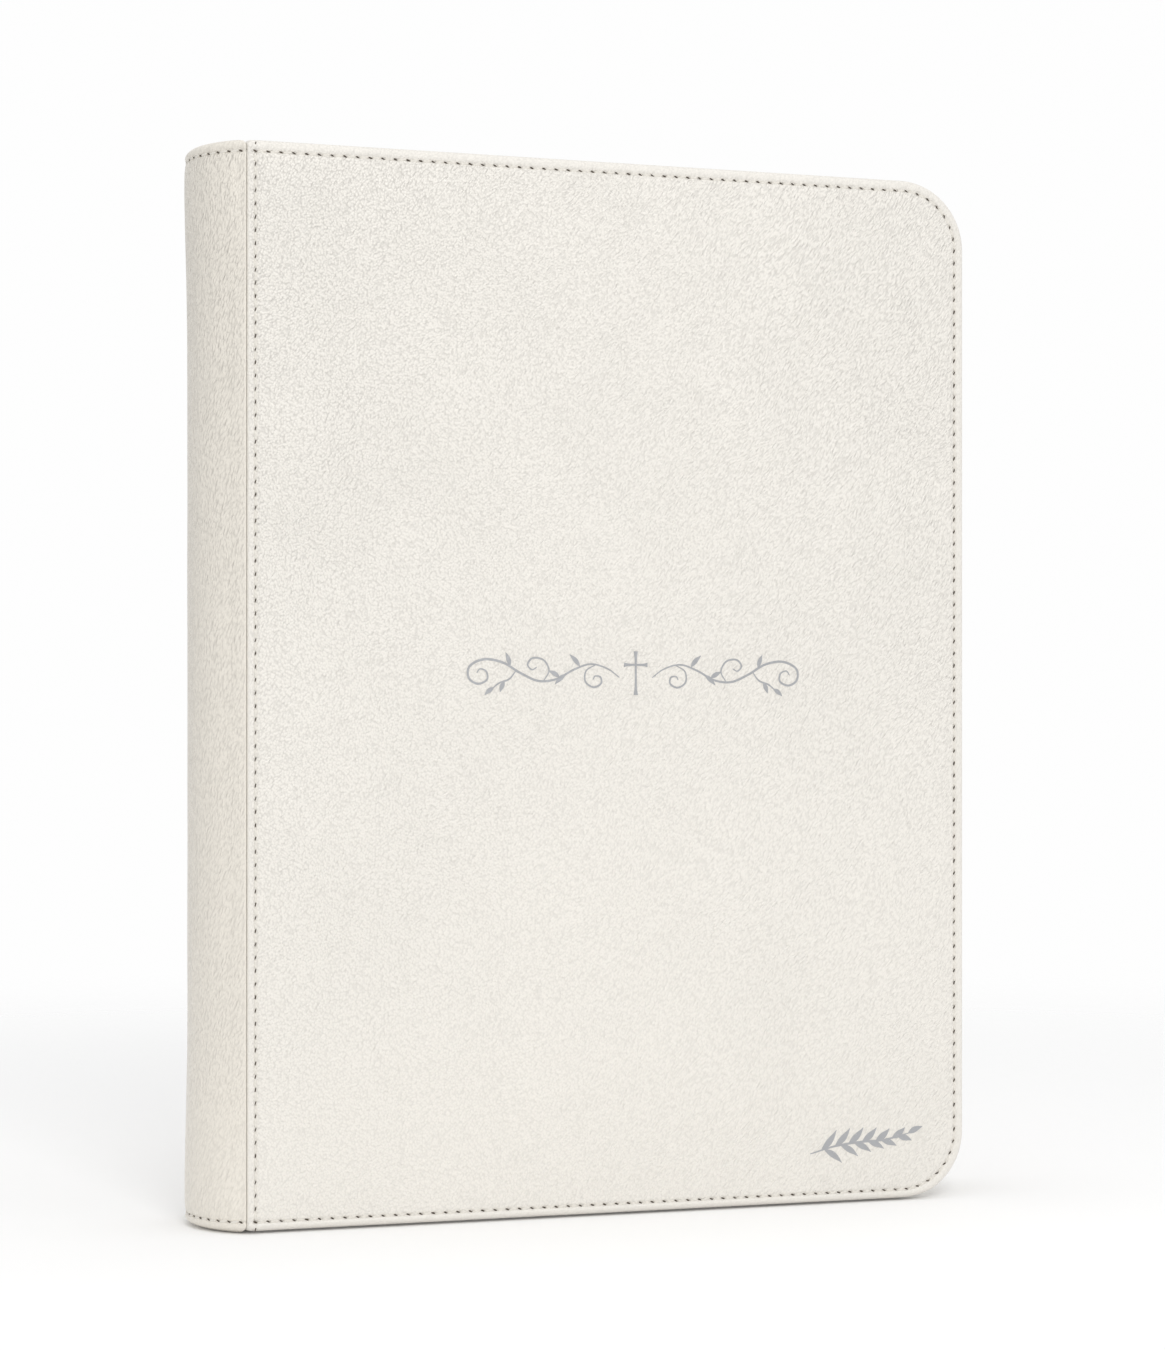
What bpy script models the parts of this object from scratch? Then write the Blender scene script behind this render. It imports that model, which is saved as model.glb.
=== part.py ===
"""Prayer book: a sewn book block in a padded, stitched leatherette case, standing closed.

Metres, +Z up. The front cover faces -Y, the rounded spine is at -X and the fore-edge at +X. The
origin is under the middle of the closed book. Each piece that turns has its origin on its hinge.
"""

import math

import bmesh
import bpy

# Driving dimensions
HEIGHT = 0.266
PANEL_WIDTH = 0.1912        # lap seam to fore-edge
THICKNESS = 0.037           # outside of front cover to outside of back cover
SPINE_BULGE = 0.0112        # how far the spine stands out behind the lap seams
CORNER_RADIUS = 0.0177
GAP = 0.0003                # air between pieces that touch on the real book
SEAM_GAP = 0.00015          # half the air between a cover and the spine
HINGE_STAND_OFF = 0.0002    # hinge axis outside the cover's face, in the leather's fold

# Layers of a cover, outside to inside
LEATHER = 0.0014
EDGE_WALL = 0.0012
EDGE_ROUND = 0.0012
PADDING = 0.0012
BOARD = 0.0015
LINING = 0.0006
PASTEDOWN = 0.0003

# Layers of the spine
SPINE_CARD = 0.0012
SPINE_LINING = 0.0006
SPINE_EDGE_ROUND = 0.001    # rounding of the spine's head and tail, measured across the skin

# Stitch rows
ROW_INSET = 0.003
LAP_ROW_INSET = 0.002
THREAD_RADIUS = 0.00025
GROOVE_RADIUS = THREAD_RADIUS + GAP
GROOVE_OVERRUN = 0.001      # so that a groove runs out through the edge of its piece
ROW_MARGIN = 0.001          # from the lap row's ends to the rows at head and tail

# Book block: leaves of 182 x 257 mm
LEAF_WIDTH = 0.182
LEAF_HEIGHT = 0.257
LEAF_CORNER_RADIUS = 0.010
FLYLEAF = 0.0003
SECTION_COUNT = 12
ROOT_FROM_SEAM = 0.001      # outermost section's fold to the lap seam
BACK_RADIUS = 0.040         # gentle round of the block's back
GAUZE = 0.0004
BACK_PAPER = 0.0005
BAND_RADIUS = 0.001
ROOT_THICKNESS = 0.00035    # a section is thin at its fold, so that its neighbours can fan
ROOT_TAPER = 0.0075
TIP_STRIP = 0.005           # width by which a flyleaf is tipped on to its section

# Worked out from the above
HALF = THICKNESS / 2
SEAM_X = SPINE_BULGE - (PANEL_WIDTH + SPINE_BULGE) / 2
FORE_X = SEAM_X + PANEL_WIDTH
SPINE_RADIUS = (HALF ** 2 + SPINE_BULGE ** 2) / (2 * SPINE_BULGE)
SPINE_CENTRE_X = SEAM_X - SPINE_BULGE + SPINE_RADIUS
PADDING_Y = HALF - LEATHER - GAP
BOARD_Y = PADDING_Y - PADDING - GAP
LINING_Y = BOARD_Y - BOARD - GAP
PASTEDOWN_Y = LINING_Y - LINING - GAP
FLYLEAF_Y = PASTEDOWN_Y - PASTEDOWN - GAP
BLOCK_Y = FLYLEAF_Y - FLYLEAF - GAP
SECTION_PITCH = (2 * BLOCK_Y + GAP) / SECTION_COUNT
SECTION_THICKNESS = SECTION_PITCH - GAP
LEAF_BOTTOM = (HEIGHT - LEAF_HEIGHT) / 2
LEAF_TOP = LEAF_BOTTOM + LEAF_HEIGHT
BACK_CENTRE_X = SEAM_X + ROOT_FROM_SEAM + math.sqrt(BACK_RADIUS ** 2 - BLOCK_Y ** 2)
LINED_INSET = EDGE_WALL + GAP

CORNER_STEPS = 8
LEAF_CORNER_STEPS = 6
EDGE_STEPS = 3
SPINE_STEPS = 16
SPINE_ROW_STEPS = 24
BAND_STEPS = 12
TUBE_SIDES = 8


def clear_scene():
    for obj in list(bpy.data.objects):
        bpy.data.objects.remove(obj, do_unlink=True)


def material(name, colour, roughness):
    made = bpy.data.materials.new(name)
    made.use_nodes = True
    shader = made.node_tree.nodes["Principled BSDF"]
    shader.inputs["Base Color"].default_value = (*colour, 1.0)
    shader.inputs["Roughness"].default_value = roughness
    shader.inputs["Metallic"].default_value = 0.0
    return made


def make_materials():
    return {
        "ivory_leather": material("ivory_leather", (0.85, 0.82, 0.77), 0.5),
        "foam": material("foam", (0.86, 0.85, 0.80), 0.9),
        "board": material("board", (0.42, 0.38, 0.32), 0.85),
        "lining": material("lining", (0.80, 0.76, 0.69), 0.7),
        "endpaper": material("endpaper", (0.86, 0.83, 0.76), 0.8),
        "paper": material("paper", (0.90, 0.88, 0.82), 0.85),
        "gauze": material("gauze", (0.83, 0.81, 0.75), 0.9),
        "thread": material("thread", (0.82, 0.79, 0.72), 0.5),
        "band_silk": material("band_silk", (0.80, 0.76, 0.66), 0.45),
    }


def add_object(name, mesh, paint, origin=(0.0, 0.0, 0.0)):
    """One named piece whose own origin sits at `origin`, on its hinge if it has one."""
    mesh.name = name
    mesh.materials.append(paint)
    for vertex in mesh.vertices:
        vertex.co.x -= origin[0]
        vertex.co.y -= origin[1]
        vertex.co.z -= origin[2]
    obj = bpy.data.objects.new(name, mesh)
    obj.location = origin
    bpy.context.scene.collection.objects.link(obj)
    return obj


def loft(rings):
    """A closed solid through rings of points, capped at both ends, with its faces turned out."""
    bm = bmesh.new()
    loops = [[bm.verts.new(point) for point in ring] for ring in rings]
    for lower, upper in zip(loops, loops[1:]):
        for i in range(len(lower)):
            j = (i + 1) % len(lower)
            bm.faces.new((lower[i], lower[j], upper[j], upper[i]))
    bm.faces.new(reversed(loops[0]))
    bm.faces.new(loops[-1])
    bmesh.ops.recalc_face_normals(bm, faces=bm.faces)
    mesh = bpy.data.meshes.new("loft")
    bm.to_mesh(mesh)
    bm.free()
    return mesh


def smooth(mesh, degrees=35):
    mesh.shade_smooth()
    mesh.set_sharp_from_angle(angle=math.radians(degrees))
    return mesh


def panel_outline(inset):
    """(x, z) points round a cover at `inset` from its edges: square at the hinge, round at the fore-edge."""
    left = SEAM_X + SEAM_GAP + inset
    right = FORE_X - inset
    radius = CORNER_RADIUS - inset
    points = [(left, inset)]
    for centre_z, start in ((CORNER_RADIUS, -90), (HEIGHT - CORNER_RADIUS, 0)):
        for step in range(CORNER_STEPS + 1):
            angle = math.radians(start + 90 * step / CORNER_STEPS)
            points.append((right - radius + radius * math.cos(angle), centre_z + radius * math.sin(angle)))
    points.append((left, HEIGHT - inset))
    return points


def panel_ring(inset, depth, side):
    return [(x, side * depth, z) for x, z in panel_outline(inset)]


def plate(inset, outer_depth, thickness, side):
    return loft([panel_ring(inset, outer_depth, side), panel_ring(inset, outer_depth - thickness, side)])


def leather_tray(side):
    """The turned leatherette: a face with rounded edges and a low wall all round it."""
    rings = [panel_ring(0.0, LINING_Y - LINING, side)]
    for step in range(EDGE_STEPS + 1):
        angle = math.radians(90 * step / EDGE_STEPS)
        inset = EDGE_ROUND * (1 - math.cos(angle))
        rings.append(panel_ring(inset, HALF - EDGE_ROUND + EDGE_ROUND * math.sin(angle), side))
    outer = [rings[-1], *reversed(rings[:-1])]
    inner = [
        panel_ring(EDGE_WALL, LINING_Y - LINING, side),
        panel_ring(EDGE_WALL, HALF - LEATHER, side),
    ]
    return smooth(loft(outer + inner))


def edge_path(side, overrun):
    """The stitch row along head, fore-edge and tail, `overrun` past the seam side of the panel."""
    depth = side * (HALF - THREAD_RADIUS)
    path = [(x, depth, z) for x, z in panel_outline(ROW_INSET)]
    end_x = SEAM_X + SEAM_GAP - overrun
    path[0] = (end_x, depth, ROW_INSET)
    path[-1] = (end_x, depth, HEIGHT - ROW_INSET)
    return path


def lap_path(side, margin):
    """The upright row beside the lap seam, `margin` short of the rows at head and tail."""
    x = SEAM_X + SEAM_GAP + LAP_ROW_INSET
    depth = side * (HALF - THREAD_RADIUS)
    low = ROW_INSET + margin
    return [(x, depth, low), (x, depth, HEIGHT - low)]


def arc_half_angle(centre_x, radius, x_limit):
    return math.acos((centre_x - x_limit) / radius)


def spine_arc(radius, x_limit, steps=SPINE_STEPS, centre_x=SPINE_CENTRE_X):
    """(x, y) points round the spine from front to back, ended where they reach x_limit."""
    half = arc_half_angle(centre_x, radius, x_limit)
    angles = [-half + 2 * half * step / steps for step in range(steps + 1)]
    return [(centre_x - radius * math.cos(a), radius * math.sin(a)) for a in angles]


def spine_row_path(height, overrun):
    x_limit = SEAM_X - SEAM_GAP + overrun
    return [(x, y, height) for x, y in spine_arc(SPINE_RADIUS - THREAD_RADIUS, x_limit, SPINE_ROW_STEPS)]


def arc_ring(outer, inner, x_limit, z, centre_x=SPINE_CENTRE_X):
    outside = spine_arc(outer, x_limit, centre_x=centre_x)
    inside = spine_arc(inner, x_limit, centre_x=centre_x)
    return [(x, y, z) for x, y in outside + inside[::-1]]


def arc_plate(outer, thickness, x_limit, bottom, top, centre_x=SPINE_CENTRE_X):
    rings = [arc_ring(outer, outer - thickness, x_limit, z, centre_x) for z in (bottom, top)]
    return smooth(loft(rings))


def spine_skin():
    """The spine's leatherette: a curved sheet with rounded head and tail edges."""
    x_limit = SEAM_X - SEAM_GAP
    angles = [math.radians(90 * step / EDGE_STEPS) for step in range(EDGE_STEPS + 1)]
    bottom = [(SPINE_EDGE_ROUND * (1 - math.sin(a)), EDGE_ROUND * (1 - math.cos(a))) for a in angles]
    rings = [arc_ring(SPINE_RADIUS - shrink, SPINE_RADIUS - LEATHER, x_limit, rise)
             for shrink, rise in bottom]
    rings += [arc_ring(SPINE_RADIUS - shrink, SPINE_RADIUS - LEATHER, x_limit, HEIGHT - rise)
              for shrink, rise in reversed(bottom)]
    return smooth(loft(rings))


def row_tube(path, radius, flat_rows):
    """A tube whose rings keep one plane's normal as `up`, so that a level arc doesn't twist."""
    rings = []
    last = len(path) - 1
    for i, point in enumerate(path):
        before = path[max(i - 1, 0)]
        after = path[min(i + 1, last)]
        dx, dy, dz = (after[k] - before[k] for k in range(3))
        size = math.sqrt(dx * dx + dy * dy + dz * dz)
        across = (-dy / size, dx / size, 0.0) if flat_rows else (-dz / size, 0.0, dx / size)
        up = (0.0, 0.0, 1.0) if flat_rows else (0.0, 1.0, 0.0)
        ring = []
        for step in range(TUBE_SIDES):
            angle = 2 * math.pi * (step + 0.5) / TUBE_SIDES
            c = radius * math.cos(angle)
            s = radius * math.sin(angle)
            ring.append(tuple(point[k] + c * across[k] + s * up[k] for k in range(3)))
        rings.append(ring)
    return smooth(loft(rings), 60)


def cut(obj, name, mesh):
    """Cuts a groove from a piece with a hidden cutter."""
    cutter = bpy.data.objects.new(name, mesh)
    cutter.hide_render = True
    cutter.display_type = "WIRE"
    bpy.context.scene.collection.objects.link(cutter)
    modifier = obj.modifiers.new(name, "BOOLEAN")
    modifier.operation = "DIFFERENCE"
    modifier.object = cutter


def cover_hinge(side):
    return (SEAM_X, side * (HALF + HINGE_STAND_OFF), 0.0)


def make_cover(word, side, paints):
    """The seven pieces of one cover. `side` is -1 at the front and 1 at the back."""
    hinge = cover_hinge(side)
    leather = add_object(f"{word}_cover_leather", leather_tray(side), paints["ivory_leather"], hinge)
    cut(leather, f"{word}_edge_groove", row_tube(edge_path(side, GROOVE_OVERRUN), GROOVE_RADIUS, False))
    cut(leather, f"{word}_lap_groove", row_tube(lap_path(side, 0.0), GROOVE_RADIUS, False))
    layers = (
        (f"{word}_cover_padding", PADDING_Y, PADDING, "foam", LINED_INSET),
        (f"{word}_cover_board", BOARD_Y, BOARD, "board", LINED_INSET),
        (f"{word}_cover_lining", LINING_Y, LINING, "lining", LINED_INSET),
        (f"{word}_pastedown", PASTEDOWN_Y, PASTEDOWN, "endpaper", LEAF_BOTTOM),
    )
    for name, depth, thickness, paint, inset in layers:
        add_object(name, plate(inset, depth, thickness, side), paints[paint], hinge)
    edge = row_tube(edge_path(side, -SEAM_GAP), THREAD_RADIUS, False)
    add_object(f"{word}_edge_thread", edge, paints["thread"], hinge)
    lap = row_tube(lap_path(side, ROW_MARGIN), THREAD_RADIUS, False)
    add_object(f"{word}_lap_thread", lap, paints["thread"], hinge)


def make_spine(paints):
    x_limit = SEAM_X - SEAM_GAP
    skin = add_object("spine_leather", spine_skin(), paints["ivory_leather"])
    card_radius = SPINE_RADIUS - LEATHER - GAP
    lining_radius = card_radius - SPINE_CARD - GAP
    card = arc_plate(card_radius, SPINE_CARD, x_limit, LINED_INSET, HEIGHT - LINED_INSET)
    add_object("spine_card", card, paints["board"])
    lining = arc_plate(lining_radius, SPINE_LINING, x_limit, LINED_INSET, HEIGHT - LINED_INSET)
    add_object("spine_lining", lining, paints["lining"])
    for word, height in (("tail", ROW_INSET), ("head", HEIGHT - ROW_INSET)):
        groove = row_tube(spine_row_path(height, GROOVE_OVERRUN), GROOVE_RADIUS, True)
        cut(skin, f"spine_{word}_groove", groove)
        thread = row_tube(spine_row_path(height, -SEAM_GAP), THREAD_RADIUS, True)
        add_object(f"spine_{word}_thread", thread, paints["thread"])


def root_x(depth):
    """Where a fold at this distance from the book's middle meets the block's rounded back."""
    return BACK_CENTRE_X - math.sqrt(BACK_RADIUS ** 2 - depth ** 2)


def make_block_back(paints):
    """The gauze and paper glued over the folds, and the two silk bands."""
    layers = (("block_gauze", GAP, GAUZE, "gauze"), ("block_back_paper", 2 * GAP + GAUZE, BACK_PAPER, "endpaper"))
    for name, inner, thickness, paint in layers:
        outer = BACK_RADIUS + inner + thickness
        x_limit = BACK_CENTRE_X - math.sqrt(outer ** 2 - BLOCK_Y ** 2)
        mesh = arc_plate(outer, thickness, x_limit, LEAF_BOTTOM, LEAF_TOP, BACK_CENTRE_X)
        add_object(name, mesh, paints[paint])
    for word, height in (("tail", LEAF_BOTTOM - GAP - BAND_RADIUS), ("head", LEAF_TOP + GAP + BAND_RADIUS)):
        radius = BACK_RADIUS - BAND_RADIUS
        x_limit = BACK_CENTRE_X - math.sqrt(radius ** 2 - BLOCK_Y ** 2)
        path = [(x, y, height) for x, y in spine_arc(radius, x_limit, BAND_STEPS, BACK_CENTRE_X)]
        add_object(f"{word}_band", row_tube(path, BAND_RADIUS, True), paints["band_silk"])


def leaf_outline(root, taper):
    """(x, z) points of a leaf: square at the fold, round at the fore-edge. The fold's two ends come last."""
    right = root + LEAF_WIDTH
    r = LEAF_CORNER_RADIUS
    points = [(root + taper, LEAF_BOTTOM)] if taper else []
    for centre_z, start in ((LEAF_BOTTOM + r, -90), (LEAF_TOP - r, 0)):
        for step in range(LEAF_CORNER_STEPS + 1):
            angle = math.radians(start + 90 * step / LEAF_CORNER_STEPS)
            points.append((right - r + r * math.cos(angle), centre_z + r * math.sin(angle)))
    if taper:
        points.append((root + taper, LEAF_TOP))
    return points + [(root, LEAF_TOP), (root, LEAF_BOTTOM)]


def section_mesh(root, face, inward):
    """Folded leaves. `face` is the side turned to the cover, `inward` points to the book's middle."""
    outline = leaf_outline(root, ROOT_TAPER)
    outer = [(x, face, z) for x, z in outline]
    inner = [(x, face + inward * SECTION_THICKNESS, z) for x, z in outline]
    for i in (-2, -1):
        inner[i] = (inner[i][0], face + inward * ROOT_THICKNESS, inner[i][2])
    return section_loft(outer, inner)


def section_loft(outer, inner):
    """Joins the two faces of a section, with the inner one folded along its taper."""
    bm = bmesh.new()
    low = [bm.verts.new(point) for point in outer]
    high = [bm.verts.new(point) for point in inner]
    count = len(low)
    for i in range(count):
        j = (i + 1) % count
        bm.faces.new((low[i], low[j], high[j], high[i]))
    bm.faces.new(reversed(low))
    bm.faces.new(high[:-2])
    bm.faces.new((high[-3], high[-2], high[-1], high[0]))
    bmesh.ops.recalc_face_normals(bm, faces=bm.faces)
    mesh = bpy.data.meshes.new("section")
    bm.to_mesh(mesh)
    bm.free()
    return mesh


def make_sections(paints):
    """Sections run from front to back. Each turns on the edge of its fold that faces its cover."""
    for index in range(SECTION_COUNT):
        front_half = index < SECTION_COUNT // 2
        low = -BLOCK_Y + index * SECTION_PITCH
        face = low if front_half else low + SECTION_THICKNESS
        root = root_x(face)
        mesh = section_mesh(root, face, 1 if front_half else -1)
        add_object(f"section_{index + 1:02d}", mesh, paints["paper"], (root, face, 0.0))


def make_flyleaves(paints):
    for word, side in (("front", -1), ("back", 1)):
        root = root_x(BLOCK_Y) + TIP_STRIP
        outline = leaf_outline(root_x(BLOCK_Y), 0.0)
        outline[-2] = (root, LEAF_TOP)
        outline[-1] = (root, LEAF_BOTTOM)
        rings = [[(x, side * depth, z) for x, z in outline] for depth in (FLYLEAF_Y, FLYLEAF_Y - FLYLEAF)]
        add_object(f"{word}_flyleaf", loft(rings), paints["endpaper"], (root, side * FLYLEAF_Y, 0.0))


def main():
    clear_scene()
    paints = make_materials()
    make_cover("front", -1, paints)
    make_cover("back", 1, paints)
    make_spine(paints)
    make_block_back(paints)
    make_sections(paints)
    make_flyleaves(paints)


main()
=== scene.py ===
"""The finished look of a prayer book in a padded, stitched ivory leatherette case.

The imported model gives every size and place. Each operator makes one piece or one group of like
pieces round it, in metres, and the stage operator sets the floor, the lamps and the camera.
"""

import math

import bpy
import numpy as np
from bpy.props import FloatProperty, FloatVectorProperty, IntProperty, PointerProperty
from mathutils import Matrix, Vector


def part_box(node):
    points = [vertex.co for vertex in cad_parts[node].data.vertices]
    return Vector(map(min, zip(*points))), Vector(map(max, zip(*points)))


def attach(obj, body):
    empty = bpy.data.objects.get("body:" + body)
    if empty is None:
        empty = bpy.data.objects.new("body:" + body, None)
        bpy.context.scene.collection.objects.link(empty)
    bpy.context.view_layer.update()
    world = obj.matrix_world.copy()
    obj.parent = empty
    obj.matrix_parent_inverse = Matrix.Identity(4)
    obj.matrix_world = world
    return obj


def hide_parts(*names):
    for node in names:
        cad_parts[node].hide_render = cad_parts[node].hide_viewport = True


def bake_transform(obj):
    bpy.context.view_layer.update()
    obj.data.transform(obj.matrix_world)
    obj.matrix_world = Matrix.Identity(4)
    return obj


bl_info = {
    "name": "Prayer book finish",
    "version": (1, 0, 0),
    "blender": (4, 5, 0),
    "location": "View3D > Sidebar > Prayer book",
    "description": "Leather, stitches, leaves and studio for a stitched prayer book",
    "category": "Object",
}

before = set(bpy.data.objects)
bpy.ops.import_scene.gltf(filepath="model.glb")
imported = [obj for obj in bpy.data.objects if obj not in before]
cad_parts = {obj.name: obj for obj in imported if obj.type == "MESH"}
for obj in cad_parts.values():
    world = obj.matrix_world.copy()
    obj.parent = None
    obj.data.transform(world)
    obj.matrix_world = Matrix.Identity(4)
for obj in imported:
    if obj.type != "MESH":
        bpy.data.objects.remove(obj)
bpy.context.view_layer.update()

MM = 0.001

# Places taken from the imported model
PANEL_LOW, PANEL_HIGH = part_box("front_cover_leather")
SPINE_LOW, SPINE_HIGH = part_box("spine_leather")
LINING_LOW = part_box("front_cover_lining")[0]
HEIGHT = PANEL_HIGH.z
HALF = -PANEL_LOW.y
LEFT = PANEL_LOW.x
RIGHT = PANEL_HIGH.x
SEAM_X = (PANEL_LOW.x + SPINE_HIGH.x) / 2
SEAM_GAP = PANEL_LOW.x - SEAM_X
BULGE = SEAM_X - SPINE_LOW.x
SPINE_RADIUS = (HALF ** 2 + BULGE ** 2) / (2 * BULGE)
SPINE_CENTRE_X = SPINE_LOW.x + SPINE_RADIUS
EDGE_FACE = -PANEL_HIGH.y           # how far the turned edge's inner side is from the book's middle
LINING_OUTER = -LINING_LOW.y
LINING_INSET = LINING_LOW.x - LEFT
CORNER_RADIUS = 17.7 * MM
ROW_INSET = 3.0 * MM                # from the case's edge to the stitches along it
LAP_INSET = 2.0 * MM                # from the lap seam to the stitches beside it
MIDDLE_X = RIGHT - CORNER_RADIUS    # where the straight head and tail end and the corners begin
STRAIGHT = MIDDLE_X - LEFT
UPRIGHT = HEIGHT - 2 * CORNER_RADIUS

# How the leather sits
SEAM_LAP = 0.1 * MM                 # the soft leather fills part of the air at the seam
SEAM_NOTCH = 0.70 * MM              # how far the rims draw in where they meet at the ends of the seam
FOOT_LIFT = 0.55 * MM               # the case stands on its inner edges, so its rims clear the floor
RIM_HEIGHT = 2.6 * MM               # how much of the case's head and tail the notch and the lift work on
GROOVE_SHARE = 0.6                  # the lap row's groove is this much of the edge row's
WALL = 1.2 * MM                     # thickness of leather and glue at a turned edge
ROW_STEPS = (2.2, 2.45, 2.62, 2.76, 2.88, 3.0, 3.12, 3.25, 3.42, 3.65, 4.0, 4.6)    # in mm, across a row
ROUND_ANGLES = range(0, 91, 15)     # steps round a folded edge

# Seeds of the small differences that aren't settings
CREASE_SEED = 11
SECTION_SEED = 100
FLYLEAF_SEED = 5
BAND_SEED = 3

# Leaves
LEAF_CORNER = 10.0 * MM
LEAF_STEPS = (0.0, 0.8, 1.6, 2.4, 3.2, 4.0, 4.8, 5.6, 6.4, 7.2, 8.0, 9.0, 10.5, 13.0, 20.0, 40.0, 80.0, 125.0)

# Lamps
KEY_PLACE = (-0.10, -0.93, 0.68)
KEY_SIZE = (0.30, 0.30)
TOP_PLACE = (0.0, -0.1, 1.3)
TOP_SIZE = (0.9, 0.9)


class CaseSettings(bpy.types.PropertyGroup):
    """Sizes and colours of the leather case."""

    rim_round: FloatProperty(
        name="Rim round", description="Radius of the turned edge across the cover",
        default=1.9 * MM, unit="LENGTH")
    rim_depth: FloatProperty(
        name="Rim depth", description="Radius of the turned edge through the cover",
        default=2.5 * MM, unit="LENGTH")
    rim_swell: FloatProperty(
        name="Rim swell", description="How far the rolled rim stands up", default=0.10 * MM, unit="LENGTH")
    seam_round: FloatProperty(
        name="Seam round", description="Radius of the folded edges at the lap seam",
        default=0.5 * MM, unit="LENGTH")
    seam_bead: FloatProperty(
        name="Seam bead", description="Height of the bead beside the seam on the spine", default=0.09 * MM,
        unit="LENGTH")
    groove_depth: FloatProperty(
        name="Groove depth", description="Depth of the stitched groove", default=0.42 * MM, unit="LENGTH")
    groove_width: FloatProperty(
        name="Groove width", description="Half width of the stitched groove",
        default=0.45 * MM, unit="LENGTH")
    pad_rise: FloatProperty(
        name="Pad rise", description="How far the padding lifts the cover", default=0.22 * MM, unit="LENGTH")
    waist: FloatProperty(
        name="Waist", description="How far the spine is drawn in between its rims",
        default=0.50 * MM, unit="LENGTH")
    leather_colour: FloatVectorProperty(
        name="Leather", description="Ivory of the leather",
        subtype="COLOR", default=(0.815, 0.783, 0.727), size=3)
    lining_colour: FloatVectorProperty(
        name="Lining", description="Colour of the inner lining",
        subtype="COLOR", default=(0.66, 0.60, 0.51), size=3)
    foil_colour: FloatVectorProperty(
        name="Foil", description="Colour of the stamped foil",
        subtype="COLOR", default=(0.45, 0.455, 0.47), size=3)


class StitchSettings(bpy.types.PropertyGroup):
    """Sizes and colours of the stitch rows."""

    pitch: FloatProperty(name="Pitch", description="Length of one stitch", default=3.2 * MM, unit="LENGTH")
    length: FloatProperty(
        name="Thread length", description="Thread seen between two holes", default=2.55 * MM, unit="LENGTH")
    width: FloatProperty(
        name="Thread width", description="Width of the thread", default=0.72 * MM, unit="LENGTH")
    hole_length: FloatProperty(
        name="Hole length", description="Length of a needle hole", default=1.15 * MM, unit="LENGTH")
    hole_width: FloatProperty(
        name="Hole width", description="Width of a needle hole", default=0.37 * MM, unit="LENGTH")
    thread_slant: FloatProperty(
        name="Thread slant", description="Turn of the thread from its row",
        default=math.radians(9), unit="ROTATION")
    hole_slant: FloatProperty(
        name="Hole slant", description="Turn of a needle hole from its row", default=math.radians(-27),
        unit="ROTATION")
    thread_colour: FloatVectorProperty(
        name="Thread", description="Colour of the thread",
        subtype="COLOR", default=(0.80, 0.765, 0.70), size=3)
    # Near-black marks laid in the stitch rows: painted shade down in each needle hole.
    hole_shade_colour: FloatVectorProperty(
        name="Needle hole", description="Colour down in a needle hole", subtype="COLOR",
        default=(0.055, 0.043, 0.032), size=3)
    seed: IntProperty(name="Seed", description="Seed of the small differences between stitches", default=7)


class LeafSettings(bpy.types.PropertyGroup):
    """Sizes and colours of the leaves."""

    layers: IntProperty(name="Layers", description="Leaf edges modelled in a section", default=9, min=3)
    ruffle: FloatProperty(
        name="Ruffle", description="How unevenly the leaf edges lie", default=0.11 * MM, unit="LENGTH")
    sheet: FloatProperty(
        name="Flyleaf", description="Thickness of a flyleaf", default=0.16 * MM, unit="LENGTH")
    bend: FloatProperty(
        name="Bend", description="Length over which a leaf bends at its fold",
        default=9.0 * MM, unit="LENGTH")
    paper_colour: FloatVectorProperty(
        name="Paper", description="Colour of the leaves",
        subtype="COLOR", default=(0.88, 0.845, 0.775), size=3)
    endpaper_colour: FloatVectorProperty(
        name="Endpaper", description="Colour of the endpapers",
        subtype="COLOR", default=(0.83, 0.795, 0.715), size=3)
    silk_colour: FloatVectorProperty(
        name="Band silk", description="Colour of the bands at head and tail", subtype="COLOR",
        default=(0.70, 0.63, 0.50), size=3)


class StudioSettings(bpy.types.PropertyGroup):
    """Camera and lamps."""

    turn: FloatProperty(
        name="Turn", description="How far the camera stands round to the spine's side",
        default=math.radians(18.2), unit="ROTATION")
    lens: FloatProperty(name="Lens", description="Focal length", default=80.0, unit="CAMERA")
    distance: FloatProperty(
        name="Distance", description="From the lens to the front seam, in book heights", default=2.733)
    aside: FloatProperty(
        name="Aside", description="Front seam to the lens axis, in book heights", default=0.3057)
    eye: FloatProperty(name="Eye height", description="Height of the lens, in book heights", default=0.453)
    rise: FloatProperty(name="Rise", description="Vertical shift of the lens", default=0.0467)
    backdrop: FloatProperty(name="Backdrop", description="Brightness of the white backdrop", default=0.99)
    fill: FloatProperty(name="Fill", description="Brightness of the soft light from all round", default=0.766)
    lean: FloatProperty(
        name="Lean", description="How much dimmer the fill is from the spine's side", default=0.15)
    behind: FloatProperty(
        name="Behind", description="How much brighter the fill is from behind", default=0.065)
    key_power: FloatProperty(
        name="Key", description="Power of the large front lamp", default=3.0, unit="POWER")
    top_power: FloatProperty(name="Top", description="Power of the lamp above", default=2.0, unit="POWER")


# ---------------------------------------------------------------- shader and node helpers


class Term:
    """A shader socket that takes part in sums and products."""

    def __init__(self, paint, socket):
        self.paint = paint
        self.socket = socket

    def math(self, operation, *others):
        values = {index + 1: other for index, other in enumerate(others)}
        return self.paint.node("ShaderNodeMath", {"operation": operation}, {0: self, **values})

    def __add__(self, other):
        return self.math("ADD", other)

    def __mul__(self, other):
        return self.math("MULTIPLY", other)

    def __sub__(self, other):
        return self.math("SUBTRACT", other)

    def __rsub__(self, other):
        return self.paint.node("ShaderNodeMath", {"operation": "SUBTRACT"}, {0: other, 1: self})

    __radd__ = __add__
    __rmul__ = __mul__

    def between(self, low, high):
        """0 below low, 1 above high and smooth in between."""
        settings = {"interpolation_type": "SMOOTHSTEP"}
        values = {"Value": self, "From Min": low, "From Max": high}
        return self.paint.node("ShaderNodeMapRange", settings, values)


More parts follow.
